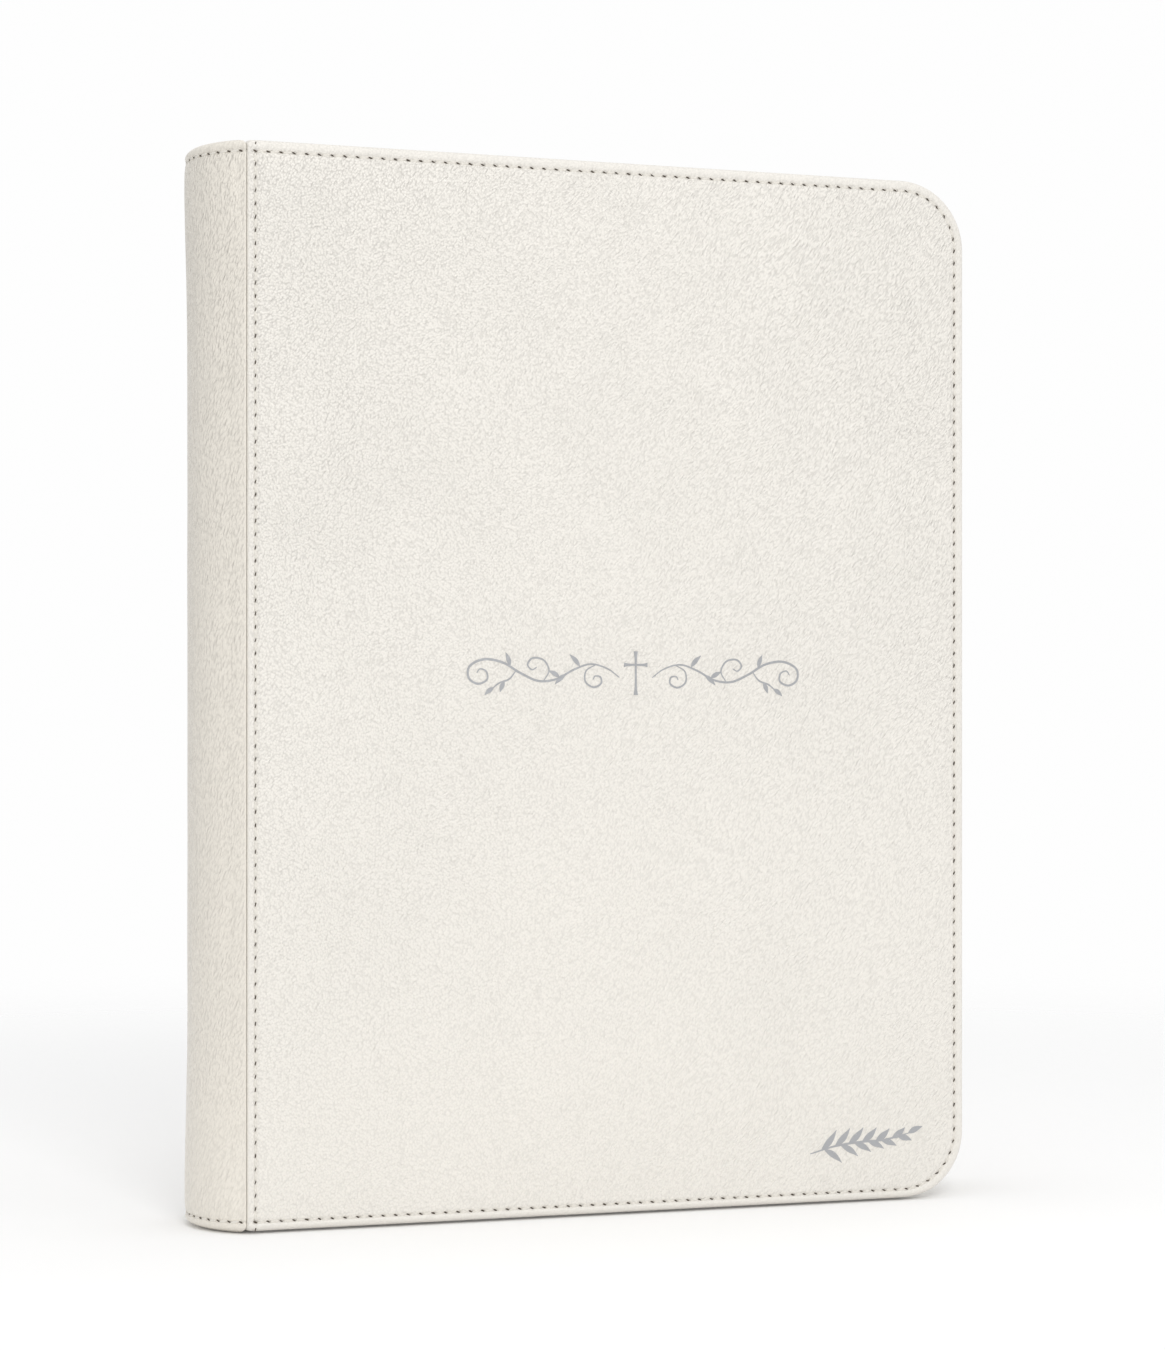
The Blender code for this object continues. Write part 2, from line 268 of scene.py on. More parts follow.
class Paint:
    """One material under construction."""

    def __init__(self, name):
        self.material = bpy.data.materials.new(name)
        self.material.use_nodes = True
        self.tree = self.material.node_tree
        self.shader = self.tree.nodes["Principled BSDF"]

    def connect(self, value, socket):
        if isinstance(value, Term):
            self.tree.links.new(value.socket, socket)
        else:
            socket.default_value = value

    def node(self, kind, settings=None, values=None, output=0):
        made = self.tree.nodes.new(kind)
        for name, value in (settings or {}).items():
            setattr(made, name, value)
        for name, value in (values or {}).items():
            self.connect(value, made.inputs[name])
        return Term(self, made.outputs[output])

    def place(self):
        return self.node("ShaderNodeTexCoord", output="Object")

    def kept_place(self):
        """The place that a piece has at rest, stored on its points."""
        return self.attribute("rest_place", "Vector")

    def axis(self, place, name):
        return self.node("ShaderNodeSeparateXYZ", None, {0: place}, name)

    def attribute(self, name, output="Fac"):
        return self.node("ShaderNodeAttribute", {"attribute_name": name}, output=output)

    def drawn_out(self, place, stretch, lean=(0.0, 0.0, 0.0)):
        """Stretches a pattern along its own axes, turned from the object's by these degrees about X, Y, Z."""
        turn = tuple(math.radians(angle) for angle in lean)
        values = {"Vector": place, "Scale": stretch, "Rotation": turn}
        return self.node("ShaderNodeMapping", {"vector_type": "TEXTURE"}, values)

    def noise(self, place, scale, detail=2.0, roughness=0.5, output="Fac"):
        values = {"Vector": place, "Scale": scale, "Detail": detail, "Roughness": roughness}
        return self.node("ShaderNodeTexNoise", values=values, output=output)

    def cells(self, place, scale, feature="F1", spread=1.0):
        values = {"Vector": place, "Scale": scale, "Randomness": spread}
        return self.node("ShaderNodeTexVoronoi", {"feature": feature}, values, "Distance")

    def bands(self, place, direction, scale, distortion, detail=2.0):
        """Even bands across the given direction, drawn slightly out of line."""
        settings = {"wave_type": "BANDS", "bands_direction": direction}
        values = {"Vector": place, "Scale": scale, "Distortion": distortion, "Detail": detail}
        return self.node("ShaderNodeTexWave", settings, values, "Fac")

    def pebbles(self, place, scale):
        """Rounded cells with creases between them: 1 on top of each and about 0 in the creases."""
        distance = self.cells(place, scale, spread=0.85)
        return 1 - distance * distance * 1.7

    def shifted(self, place, scale, amount):
        """The place pushed about by a noise, so that a pattern loses its straight lines."""
        push = self.noise(place, scale, 1.0, output="Color")
        centred = self.vector("SUBTRACT", {0: push, 1: (0.5, 0.5, 0.5)})
        scaled = self.vector("SCALE", {0: centred, "Scale": amount})
        return self.vector("ADD", {0: place, 1: scaled})

    def vector(self, operation, values, output=0):
        return self.node("ShaderNodeVectorMath", {"operation": operation}, values, output)

    def blend(self, factor, first, second):
        mix = self.tree.nodes.new("ShaderNodeMix")
        mix.data_type = "RGBA"
        colours = [socket for socket in mix.inputs if socket.type == "RGBA"]
        self.connect(factor, mix.inputs["Factor"])
        self.connect(rgba(first), colours[0])
        self.connect(rgba(second), colours[1])
        return Term(self, next(socket for socket in mix.outputs if socket.type == "RGBA"))

    def finish(self, colour, roughness, height=None, bump=0.0, **fixed):
        """Feeds the shader. `bump` is the height in metres that 1 stands for."""
        self.connect(rgba(colour), self.shader.inputs["Base Color"])
        self.connect(roughness, self.shader.inputs["Roughness"])
        for name, value in fixed.items():
            self.shader.inputs[name.replace("_", " ")].default_value = value
        if height is not None:
            values = {"Height": height, "Distance": bump, "Strength": 1.0}
            normal = self.node("ShaderNodeBump", values=values)
            self.connect(normal, self.shader.inputs["Normal"])
        return self.material


def rgba(colour):
    return colour if isinstance(colour, Term) else (*tuple(colour)[:3], 1.0)


def shade(colour, factor):
    return tuple(channel * factor for channel in tuple(colour)[:3])


class GeometryTree:
    """A Geometry Nodes tree with named inputs, built node by node."""

    def __init__(self, name, inputs):
        self.group = bpy.data.node_groups.new(name, "GeometryNodeTree")
        interface = self.group.interface
        interface.new_socket("Geometry", in_out="INPUT", socket_type="NodeSocketGeometry")
        for label, kind in inputs.items():
            interface.new_socket(label, in_out="INPUT", socket_type=kind)
        interface.new_socket("Geometry", in_out="OUTPUT", socket_type="NodeSocketGeometry")
        self.entry = self.group.nodes.new("NodeGroupInput")
        self.exit = self.group.nodes.new("NodeGroupOutput")

    def node(self, kind, settings=None, values=None):
        made = self.group.nodes.new(kind)
        for name, value in (settings or {}).items():
            setattr(made, name, value)
        for name, value in (values or {}).items():
            socket = made.inputs[name]
            if isinstance(value, bpy.types.NodeSocket):
                self.group.links.new(value, socket)
            else:
                socket.default_value = value
        return made

    def close(self, geometry):
        self.group.links.new(geometry, self.exit.inputs[0])


def settings_of(name):
    return getattr(bpy.context.scene, name)


# ---------------------------------------------------------------- mesh helpers


def new_object(name, points, faces, material, degrees=40, attributes=None):
    """A smooth-shaded mesh object, at the origin, with its place in its points."""
    mesh = bpy.data.meshes.new(name)
    mesh.from_pydata(np.asarray(points, float).tolist(), [], faces)
    mesh.update()
    mesh.shade_smooth()
    mesh.set_sharp_from_angle(angle=math.radians(degrees))
    for label, values in (attributes or {}).items():
        store(mesh, label, values)
    mesh.materials.append(material)
    obj = bpy.data.objects.new(name, mesh)
    bpy.context.scene.collection.objects.link(obj)
    return obj


def store(mesh, label, values):
    values = np.asarray(values, np.float32)
    vector = values.ndim == 2
    layer = mesh.attributes.new(label, "FLOAT_VECTOR" if vector else "FLOAT", "POINT")
    layer.data.foreach_set("vector" if vector else "value", values.ravel())


def ring_faces(ring_count, size, flip=False, closed=True):
    """Quads between rings of `size` points that follow each other in one list."""
    faces = []
    steps = size if closed else size - 1
    for ring in range(ring_count - 1):
        low = ring * size
        high = low + size
        for i in range(steps):
            j = (i + 1) % size
            face = (low + i, low + j, high + j, high + i)
            faces.append(face[::-1] if flip else face)
    return faces


def cap(first, size, flip):
    """One face over a ring that starts at this point."""
    face = list(range(first, first + size))
    return face[::-1] if flip else face


def level_ring(x, depth, z):
    """A ring's points, all at one depth or each at its own."""
    return np.stack([x, np.broadcast_to(depth, x.shape), z], 1)


def plain_mesh(name, points, faces):
    mesh = bpy.data.meshes.new(name)
    mesh.from_pydata(points, [], faces)
    mesh.shade_smooth()
    return mesh


def place_piece(obj, body, slot, *nodes):
    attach(obj, body)
    if nodes:
        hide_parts(*nodes)


def bell(distance, width):
    return np.exp(-((distance / width) ** 2))


def ease(value, low, high):
    share = np.clip((value - low) / (high - low), 0, 1)
    return share * share * (3 - 2 * share)


def round_drop(distance, radius):
    """How far a rounded edge has fallen at this distance in from it."""
    short = np.clip(radius - distance, 0, radius)
    return radius - np.sqrt(radius ** 2 - short ** 2)


# ---------------------------------------------------------------- the cover's outline


def edge_row_length(inset):
    return 2 * STRAIGHT + math.pi * (CORNER_RADIUS - inset) + HEIGHT - 2 * CORNER_RADIUS


class Panel:
    """Stations round a cover: along the tail from the seam, up the fore-edge, back and down the seam."""

    def __init__(self, step):
        self.counts = [round(STRAIGHT / step), round(math.pi / 2 * CORNER_RADIUS / step),
                       round(UPRIGHT / step), round(HEIGHT / step)]

    def ring(self, inset, seam_inset):
        """(x, z) of every station, `inset` from head, fore-edge and tail and `seam_inset` from the seam."""
        across, corner, upright, seam = (np.linspace(0, 1, n, endpoint=False) for n in self.counts)
        left = LEFT - SEAM_LAP + seam_inset
        radius = CORNER_RADIUS - inset
        low = left + (MIDDLE_X - left) * across
        angle = corner * math.pi / 2
        pieces = [
            (low, np.full_like(low, inset)),
            (MIDDLE_X + radius * np.sin(angle), CORNER_RADIUS - radius * np.cos(angle)),
            (np.full_like(upright, RIGHT - inset), CORNER_RADIUS + UPRIGHT * upright),
            (MIDDLE_X + radius * np.cos(angle), HEIGHT - CORNER_RADIUS + radius * np.sin(angle)),
            (MIDDLE_X - (MIDDLE_X - left) * across, np.full_like(low, HEIGHT - inset)),
            (np.full_like(seam, left), HEIGHT - inset - (HEIGHT - 2 * inset) * seam),
        ]
        return np.concatenate([p[0] for p in pieces]), np.concatenate([p[1] for p in pieces])


def foot_lift(z, share):
    """Raises the rim at the tail by its share of the lift."""
    return z + FOOT_LIFT * np.clip(share, 0, 1) * np.clip(1 - z / RIM_HEIGHT, 0, 1)


def seam_notch(z, to_seam):
    """Draws a rim in beside the seam, so that a small notch is left at its head and tail."""
    reach = SEAM_NOTCH * np.exp(-np.abs(to_seam) / (0.5 * MM))
    tail = np.clip(1 - z / RIM_HEIGHT, 0, 1)
    head = np.clip(1 - (HEIGHT - z) / RIM_HEIGHT, 0, 1)
    return z + reach * (tail - head)


def from_edge(x, z):
    """Distance in from head, fore-edge or tail, round corners included."""
    low = np.minimum(z, HEIGHT - z)
    corner_x = x - MIDDLE_X
    corner_z = CORNER_RADIUS - low
    in_corner = (corner_x > 0) & (corner_z > 0)
    straight = np.minimum(low, RIGHT - x)
    return np.where(in_corner, CORNER_RADIUS - np.hypot(corner_x, corner_z), straight)


def along_edge(x, z):
    """Length along the edge row from its first needle hole, near the tail end of the seam."""
    radius = CORNER_RADIUS - ROW_INSET
    low = np.minimum(z, HEIGHT - z)
    angle = np.arctan2(np.clip(x - MIDDLE_X, 0, None), np.clip(CORNER_RADIUS - low, 1e-9, None))
    upright = np.clip(low - CORNER_RADIUS, 0, None) * (x > MIDDLE_X)
    along = np.minimum(x - LEFT, STRAIGHT) + radius * angle + upright
    return np.where(z > HEIGHT / 2, edge_row_length(ROW_INSET) - along, along) - LAP_INSET


class Row:
    """A stitch row: its count of stitches and the exact length of each."""

    def __init__(self, length, pitch):
        self.count = round(length / pitch)
        self.pitch = length / self.count

    def holes(self):
        return np.arange(self.count + 1) * self.pitch

    def threads(self):
        return (np.arange(self.count) + 0.5) * self.pitch


def edge_row(pitch):
    return Row(edge_row_length(ROW_INSET) - 2 * LAP_INSET, pitch)


def lap_row(pitch):
    return Row(HEIGHT - 2 * ROW_INSET, pitch)


def edge_row_place(t):
    """(x, z) and the row's direction at this length from the seam along the edge row."""
    radius = CORNER_RADIUS - ROW_INSET
    quarter = radius * math.pi / 2
    if t < STRAIGHT:
        return (LEFT + t, ROW_INSET), (1.0, 0.0)
    t -= STRAIGHT
    if t < quarter:
        angle = t / radius
        place = (MIDDLE_X + radius * math.sin(angle), CORNER_RADIUS - radius * math.cos(angle))
        return place, (math.cos(angle), math.sin(angle))
    t -= quarter
    if t < UPRIGHT:
        return (RIGHT - ROW_INSET, CORNER_RADIUS + t), (0.0, 1.0)
    t -= UPRIGHT
    if t < quarter:
        angle = t / radius
        place = (MIDDLE_X + radius * math.cos(angle), HEIGHT - CORNER_RADIUS + radius * math.sin(angle))
        return place, (-math.sin(angle), math.cos(angle))
    t -= quarter
    return (MIDDLE_X - t, HEIGHT - ROW_INSET), (-1.0, 0.0)


# ---------------------------------------------------------------- materials


def leather_paint(name, colour, cell=0.56 * MM, lean=(0.0, 34.0, 0.0), drawn=(0.1, 0.9), relief=0.15 * MM):
    """Pebbled leatherette.

    Its round pebbles turn to slanting, drawn-out ones by `drawn` from seam to fore-edge, and the grain
    grows stronger from tail to head and weaker on the turned rim. The pebble tops are painted lighter as a
    painted highlight and the creases darker as painted shade, and this painted light grows with the grain.
    """
    p = Paint(name)
    rest = p.place()
    flow = p.shifted(rest, 32.0, 6 * MM)
    rim = p.attribute("rim")
    drift = p.noise(rest, 17.0, 2.0)
    at_tail, growth, patchy = 0.53, 0.50, 0.12
    strength = at_tail + p.axis(rest, "Z") * (growth / HEIGHT) + drift.between(0.35, 0.65) * patchy
    grain = strength * (1 - rim * 0.5)
    share = p.axis(rest, "X").between(LEFT, RIGHT) * (drawn[1] - drawn[0]) + drawn[0]

    short, long, longest = 1.25, 2.3, 4.0
    place = p.shifted(p.drawn_out(flow, (1.0, 1.0, short), lean), 900.0, 0.25 * MM)
    round_pebbles = p.pebbles(place, 1 / cell)
    long_place = p.shifted(p.drawn_out(flow, (1.0, 1.0, long), lean), 900.0, 0.3 * MM)
    long_pebbles = p.pebbles(long_place, 1.2 / cell)
    pebbles = round_pebbles * (1 - share) + long_pebbles * share
    strands = p.noise(p.drawn_out(flow, (1.0, 1.0, longest), lean), 1.45 / cell, 1.0)

    billow = p.noise(rest, 85.0, 2.0) * 0.8
    pores = p.noise(place, 4200.0, 2.0, 0.7) * (0.10 + rim * 0.16)
    height = pebbles * 1.3 + strands * (share * 0.9 + 0.4)
    rise = pebbles.between(0.1, 0.95) + strands * 0.5 - 0.75
    # Painted highlight on the pebble tops and painted shade in the creases, taken from the height; the same
    # mask also makes the tops smoother.
    painted_light_and_polish = 0.5 + rise * grain * (1 + share * (1 - share) * 1.2)
    tone = p.blend(painted_light_and_polish, shade(colour, 0.925), shade(colour, 1.08))
    tone = p.blend(drift.between(0.3, 0.75) * 0.25, tone, shade(colour, 0.97))
    roughness = 0.36 + p.noise(place, 1500.0, 2.0) * 0.10 - painted_light_and_polish * 0.14
    return p.finish(tone, roughness, height * grain + billow + pores, relief, Specular_IOR_Level=0.5)


def lining_paint(name, colour):
    """Smooth lining leather with a faint fine grain."""
    p = Paint(name)
    place = p.shifted(p.place(), 500.0, 0.5 * MM)
    cells = p.pebbles(place, 1 / (0.8 * MM))
    drift = p.noise(p.place(), 22.0, 3.0)
    tone = p.blend(drift.between(0.35, 0.7), colour, shade(colour, 0.90))
    roughness = 0.58 + drift * 0.1
    height = cells + p.noise(place, 4200.0, 2.0) * 0.4
    return p.finish(tone, roughness, height, 0.03 * MM)


def paper_paint(name, colour, kept=False):
    """Uncoated paper: fine fibres, and thin lines of painted shade where leaf edges meet."""
    p = Paint(name)
    place = p.kept_place() if kept else p.place()
    fibres = p.noise(p.drawn_out(place, (1.0, 1.0, 2.8)), 2600.0, 4.0, 0.65)
    cloud = p.noise(place, 60.0, 3.0)
    lines = p.noise(p.drawn_out(place, (100.0, 1.0, 100.0)), 9000.0, 1.0)
    edge = p.attribute("leaf_edge") if kept else None
    tone = p.blend(cloud.between(0.35, 0.7) * 0.6, colour, shade(colour, 0.94))
    height = fibres * 0.35
    if kept:
        # Painted shade in the gaps between leaf edges.
        gap = edge * (1 - lines.between(0.34, 0.52))
        tone = p.blend(gap * 0.6, tone, shade(colour, 0.55))
        height = height + edge * lines * 1.6
    roughness = 0.82 + fibres * 0.12
    return p.finish(tone, roughness, height, 0.03 * MM)


def endpaper_paint(name, colour, kept=False):
    """Laid endpaper with close chain and laid lines and a few flecks."""
    p = Paint(name)
    place = p.kept_place() if kept else p.place()
    laid = p.bands(place, "Z", 270.0, 0.6, 1.0)
    chain = p.bands(place, "X", 12.5, 0.4, 1.0)
    fibres = p.noise(p.drawn_out(place, (1.0, 1.0, 3.3)), 1500.0, 4.0, 0.65)
    fleck = p.cells(place, 260.0)
    tone = p.blend(laid * 0.35 + chain.between(0.955, 1.0) * 0.3, colour, shade(colour, 0.93))
    tone = p.blend((1 - fleck.between(0.05, 0.12)) * 0.35, tone, shade(colour, 0.7))
    return p.finish(tone, 0.80 + fibres * 0.12, laid * 0.5 + fibres * 0.5, 0.03 * MM)


def thread_paint(name, colour):
    """Bonded sewing thread with a slanting ply."""
    p = Paint(name)
    place = p.place()
    ply = p.bands(place, "DIAGONAL", 520.0, 1.5)
    fuzz = p.noise(place, 7000.0, 2.0)
    tone = p.blend(ply * 0.5, colour, shade(colour, 0.86))
    return p.finish(tone, 0.52 + fuzz * 0.2, ply + fuzz * 0.4, 0.05 * MM)


def hole_shade_paint(name, colour):
    """Painted shade down in a needle hole: near-black, mottled a little lighter."""
    p = Paint(name)
    cloud = p.noise(p.place(), 2400.0, 2.0)
    tone = p.blend(cloud, colour, shade(colour, 2.2))
    return p.finish(tone, 0.8 + cloud * 0.15, cloud, 0.05 * MM)


def foil_paint(name, colour):
    """Silver-grey foil pressed into the grain, a little worn where the pebbles stand up."""
    p = Paint(name)
    place = p.shifted(p.place(), 260.0, 0.9 * MM)
    coarse = p.pebbles(place, 1 / (1.25 * MM))
    speck = p.noise(place, 2600.0, 3.0, 0.7)
    worn = speck.between(0.58, 0.72) * coarse.between(0.3, 0.9)
    tone = p.blend(worn * 0.55, colour, shade(colour, 1.7))
    roughness = 0.36 + speck * 0.2
    p.connect(0.85 - worn * 0.5, p.shader.inputs["Metallic"])
    return p.finish(tone, roughness, coarse + speck * 0.3, 0.07 * MM)


def foam_paint(name):
    p = Paint(name)
    pores = p.cells(p.place(), 900.0)
    tone = p.blend(pores.between(0.1, 0.6), (0.62, 0.60, 0.52), (0.78, 0.76, 0.68))
    return p.finish(tone, 0.86 + pores * 0.1, pores, 0.10 * MM)


def board_paint(name):
    """Grey-brown millboard with pressed fibres."""
    p = Paint(name)
    fibre = p.noise(p.drawn_out(p.place(), (1.0, 1.0, 4.0)), 1400.0, 5.0, 0.7)
    fleck = p.noise(p.place(), 420.0, 3.0)
    tone = p.blend(fibre.between(0.3, 0.7), (0.20, 0.165, 0.12), (0.33, 0.28, 0.21))
    tone = p.blend(fleck.between(0.62, 0.7) * 0.5, tone, (0.45, 0.40, 0.32))
    return p.finish(tone, 0.85 + fibre * 0.1, fibre, 0.05 * MM)


def gauze_paint(name):
    """Open cotton mull: crossing threads with glue between them."""
    p = Paint(name)
    place = p.place()
    warp = p.bands(place, "Z", 320.0, 0.5)
    weft = p.bands(place, "Y", 320.0, 0.5)
    weave = warp.math("MAXIMUM", weft)
    tone = p.blend(weave.between(0.4, 0.8), (0.50, 0.44, 0.33), (0.80, 0.77, 0.69))
    return p.finish(tone, 0.7 + weave * 0.2, weave, 0.12 * MM)


def silk_paint(name, colour):
    """Silk wound tightly, so that it shines along its strands."""
    p = Paint(name)
    strand = p.noise(p.drawn_out(p.place(), (1.0, 1.0, 5.0)), 5200.0, 3.0)
    tone = p.blend(strand.between(0.3, 0.7), colour, shade(colour, 0.8))
    return p.finish(tone, 0.34 + strand * 0.2, strand, 0.04 * MM, Sheen_Weight=0.2)


def floor_paint():
    """White paper that melts into the backdrop further out."""
    p = Paint("studio_floor")
    place = p.place()
    cloud = p.noise(place, 3.0, 2.0)
    away = p.vector("LENGTH", {0: place}, "Value")
    p.connect(1 - away.between(0.15, 0.8), p.shader.inputs["Alpha"])
    tone = p.blend(cloud, (0.95, 0.95, 0.95), (0.94, 0.94, 0.94))
    # The floor glows a little of its own, though it is no lamp: painted light that keeps it white and
    # lightens the shadows on it.
    glow = {"Emission_Color": (1.0, 1.0, 1.0, 1.0), "Emission_Strength": 0.038}
    return p.finish(tone, 0.9 + cloud * 0.05, Specular_IOR_Level=0.0, **glow)


# ---------------------------------------------------------------- cover leather


def row_dip(case, distance, along, pitch, depth):
    """The stitched groove, deepest at the needle holes, and the slight pucker of the skin beside it."""
    beat = np.cos(2 * math.pi * along / pitch)
    groove = depth * bell(distance, case.groove_width) * (1 + 0.30 * beat)
    pucker = 0.12 * depth * beat * np.exp(-np.abs(distance) / (0.9 * MM))
    return -groove - pucker


def cover_height(case, stitches, x, z):
    """How far the leather's face is from the book's middle."""
    edge = from_edge(x, z)
    seam = x - LEFT
    row = edge_row(stitches.pitch)
    lap = lap_row(stitches.pitch)
    height = HALF - round_drop(edge, case.rim_round) * case.rim_depth / case.rim_round
    height = height - round_drop(seam, case.seam_round)
    height = height + case.rim_swell * bell(edge - 1.75 * MM, 0.8 * MM)
    height = height + row_dip(case, edge - ROW_INSET, along_edge(x, z), row.pitch, case.groove_depth)
    lap_depth = GROOVE_SHARE * case.groove_depth
    height = height + row_dip(case, seam - LAP_INSET, z - ROW_INSET, lap.pitch, lap_depth)
    inner = np.minimum(edge - ROW_INSET, seam - LAP_INSET)
    height = height + case.pad_rise * (1 - np.exp(-np.clip(inner, 0, None) / (2.4 * MM)))
    return height


def face_insets(case):
    """Insets of the rings over a cover's face, from its edges inwards: (from the edge, from the seam)."""
    fall = 1 - np.cos(np.radians(ROUND_ANGLES))
    from_seam = (0.85, 1.1, 1.35, 1.55, 1.75, 1.9, 2.0, 2.1, 2.25, 2.45, 2.8, 3.4, 4.6, 7.0, 12.0)
    edges = list(case.rim_round * fall) + [d * MM for d in (*ROW_STEPS, 5.6, 7.4, 12.0)]
    seams = list(case.seam_round * fall) + [d * MM for d in from_seam]
    return list(zip(edges, seams))


def cover_leather(case, stitches, side, name, material):
    """The turned leather of one cover: its face, its rolled edge and the skived flap under the lining."""
    panel = Panel(stitches.pitch / 5)
    flap = 10.0 * MM
    flap_depth = LINING_OUTER + 0.04 * MM
    flap_top = flap_depth + 0.20 * MM
    inside = HALF - 1.2 * MM
    rings = []
    rim = []
    turned = [
        (flap, flap_depth), (LINING_INSET, flap_depth), (WALL, flap_depth - 0.15 * MM),
        (WALL - 0.05 * MM, EDGE_FACE + 0.12 * MM), (WALL - 0.25 * MM, EDGE_FACE),
        (0.35 * MM, EDGE_FACE + 0.1 * MM), (0.08 * MM, EDGE_FACE + 0.35 * MM), (0.0, EDGE_FACE + 0.8 * MM),
    ]
    for inset, depth in turned:
        x, z = panel.ring(inset, inset)
        rings.append(level_ring(x, depth, z))
        rim.append(np.ones_like(x))
    insets = face_insets(case)
    for inset, seam_inset in insets:
        x, z = panel.ring(inset, seam_inset)
        rings.append(level_ring(x, cover_height(case, stitches, x, z), z))
        rim.append(1 - ease(from_edge(x, z), 2.3 * MM, 3.3 * MM) * ease(x - LEFT, 0.4 * MM, 1.2 * MM))
    rings[-1][:, 1] = HALF + case.pad_rise
    outer_cap = len(rings) - 1
    for inset, depth in ((insets[-1][0], inside), (WALL, HALF - 1.4 * MM), (WALL + 0.05 * MM, flap_top),
                         (flap, flap_top)):
        x, z = panel.ring(inset, inset)
        rings.append(level_ring(x, depth, z))
        rim.append(np.ones_like(x))
    return close_cover(name, rings, outer_cap, side, rim, material)


def close_cover(name, rings, outer_cap, side, rim, material):
    """Joins the rings of a cover's leather into one closed skin: face, inside and flap."""
    size = len(rings[0])
    points = np.concatenate(rings)
    points[:, 2] = foot_lift(points[:, 2], (points[:, 1] - EDGE_FACE - 0.3 * MM) / (0.9 * MM))
    points[:, 2] = seam_notch(points[:, 2], points[:, 0] - LEFT)
    points[:, 1] *= side
    flip = side > 0
    offset = (outer_cap + 1) * size
    last = (len(rings) - 1) * size
    faces = ring_faces(outer_cap + 1, size, flip)
    inside = ring_faces(len(rings) - outer_cap - 1, size, flip)
    faces += [tuple(offset + i for i in face) for face in inside]
    for i in range(size):
        j = (i + 1) % size
        face = (last + i, last + j, j, i)
        faces.append(face[::-1] if flip else face)
    faces += [cap(outer_cap * size, size, flip), cap(offset, size, not flip)]
    return new_object(name, points, faces, material, 50, {"rim": np.concatenate(rim)})


def cover_lining(case, stitches, side, name, material):
    """The lining sewn inside a cover, dimpled along the same stitch row."""
    panel = Panel(stitches.pitch / 4)
    row = edge_row(stitches.pitch)
    dip = 0.22 * MM
    rings = []
    steps = (0.3, 0.0, 0.02, 0.1, 0.25, 0.6, 0.95, 1.15, 1.3, 1.42, 1.5, 1.6, 1.75, 2.0, 2.5, 4.0)
    for step in steps:
        inset = LINING_INSET + step * MM
        x, z = panel.ring(inset, inset)
        from_rim = from_edge(x, z)
        edge = np.minimum(from_rim, x - LEFT) - LINING_INSET
        depth = EDGE_FACE + round_drop(edge, 0.25 * MM)
        depth = depth - row_dip(case, from_rim - ROW_INSET, along_edge(x, z), row.pitch, dip)
        rings.append(level_ring(x, depth, z))
    rings[0][:, 1] = LINING_OUTER
    rings[-1][:, 1] = EDGE_FACE
    size = len(rings[0])
    points = np.concatenate(rings)
    points[:, 1] *= side
    flip = side < 0
    faces = ring_faces(len(rings), size, flip)
    faces += [cap((len(rings) - 1) * size, size, flip), cap(0, size, not flip)]
    return new_object(name, points, faces, material, 50)


class PRAYERBOOK_OT_covers(bpy.types.Operator):
    """Makes the turned leather and the lining of both covers"""

    bl_idname = "prayerbook.covers"
    bl_label = "Covers"

    def execute(self, context):
        case = settings_of("prayerbook_case")
        stitches = settings_of("prayerbook_stitches")
        leather = leather_paint("ivory_leather", case.leather_colour)
        lining = lining_paint("inner_lining", case.lining_colour)
        for word, side in (("front", -1), ("back", 1)):
            skin = cover_leather(case, stitches, side, f"{word}_leather", leather)
            place_piece(skin, f"{word}_cover", "ivory_leather", f"{word}_cover_leather")
            inside = cover_lining(case, stitches, side, f"{word}_lining", lining)
            place_piece(inside, f"{word}_cover", "lining", f"{word}_cover_lining")
        return {"FINISHED"}


# ---------------------------------------------------------------- spine leather


def spine_angle(radius):
    """Half the spine's angle at this radius, where it reaches the lap seams."""
    return np.arccos((SPINE_CENTRE_X - (SEAM_X - 0.3 * SEAM_GAP)) / radius)


def spine_columns(case, step):
    """Shares of the half angle, close together by the seams."""
    half_length = SPINE_RADIUS * float(spine_angle(SPINE_RADIUS))
    near = [case.seam_round * (1 - math.cos(math.radians(a))) for a in ROUND_ANGLES]
    near += [0.62 * MM, 0.75 * MM, 0.9 * MM, 1.15 * MM, 1.5 * MM]
    reach = half_length - 2.0 * MM
    middle = np.linspace(-reach, reach, round(2 * reach / step) + 1)
    left = [-(half_length - d) for d in near]
    right = [half_length - d for d in reversed(near)]
    return np.array(left + list(middle) + right) / half_length, half_length


def spine_loop(case):
    """The outer section of the spine's leather from tail to head, as (set-in, height)."""
    angles = np.radians(ROUND_ANGLES)
    tail = [(case.rim_depth * (1 - math.sin(a)), case.rim_round * (1 - math.cos(a))) for a in angles]
    tail += [(0.0, d * MM) for d in (*ROW_STEPS, 5.4, 6.4, 7.6)]
    middle = [(0.0, z) for z in np.arange(9.0, HEIGHT / MM - 8.9, 1.1) * MM]
    head = [(inset, HEIGHT - z) for inset, z in reversed(tail)]
    return tail + middle + head


def spine_inside():
    """The rest of that section, from the head's rim round inside to the tail's."""
    turned = 3.14 * MM
    card = 2.96 * MM
    inner = 1.42 * MM
    wall = 1.3 * MM
    head = [(2.4 * MM, 0.0), (2.9 * MM, 0.15 * MM), (turned - 0.02 * MM, 0.5 * MM), (turned, 1.2 * MM),
            (turned, 10 * MM), (card, 10 * MM), (card, wall + 0.1 * MM), (inner, wall)]
    return [(r, HEIGHT - z) for r, z in head] + [(r, z) for r, z in reversed(head)]


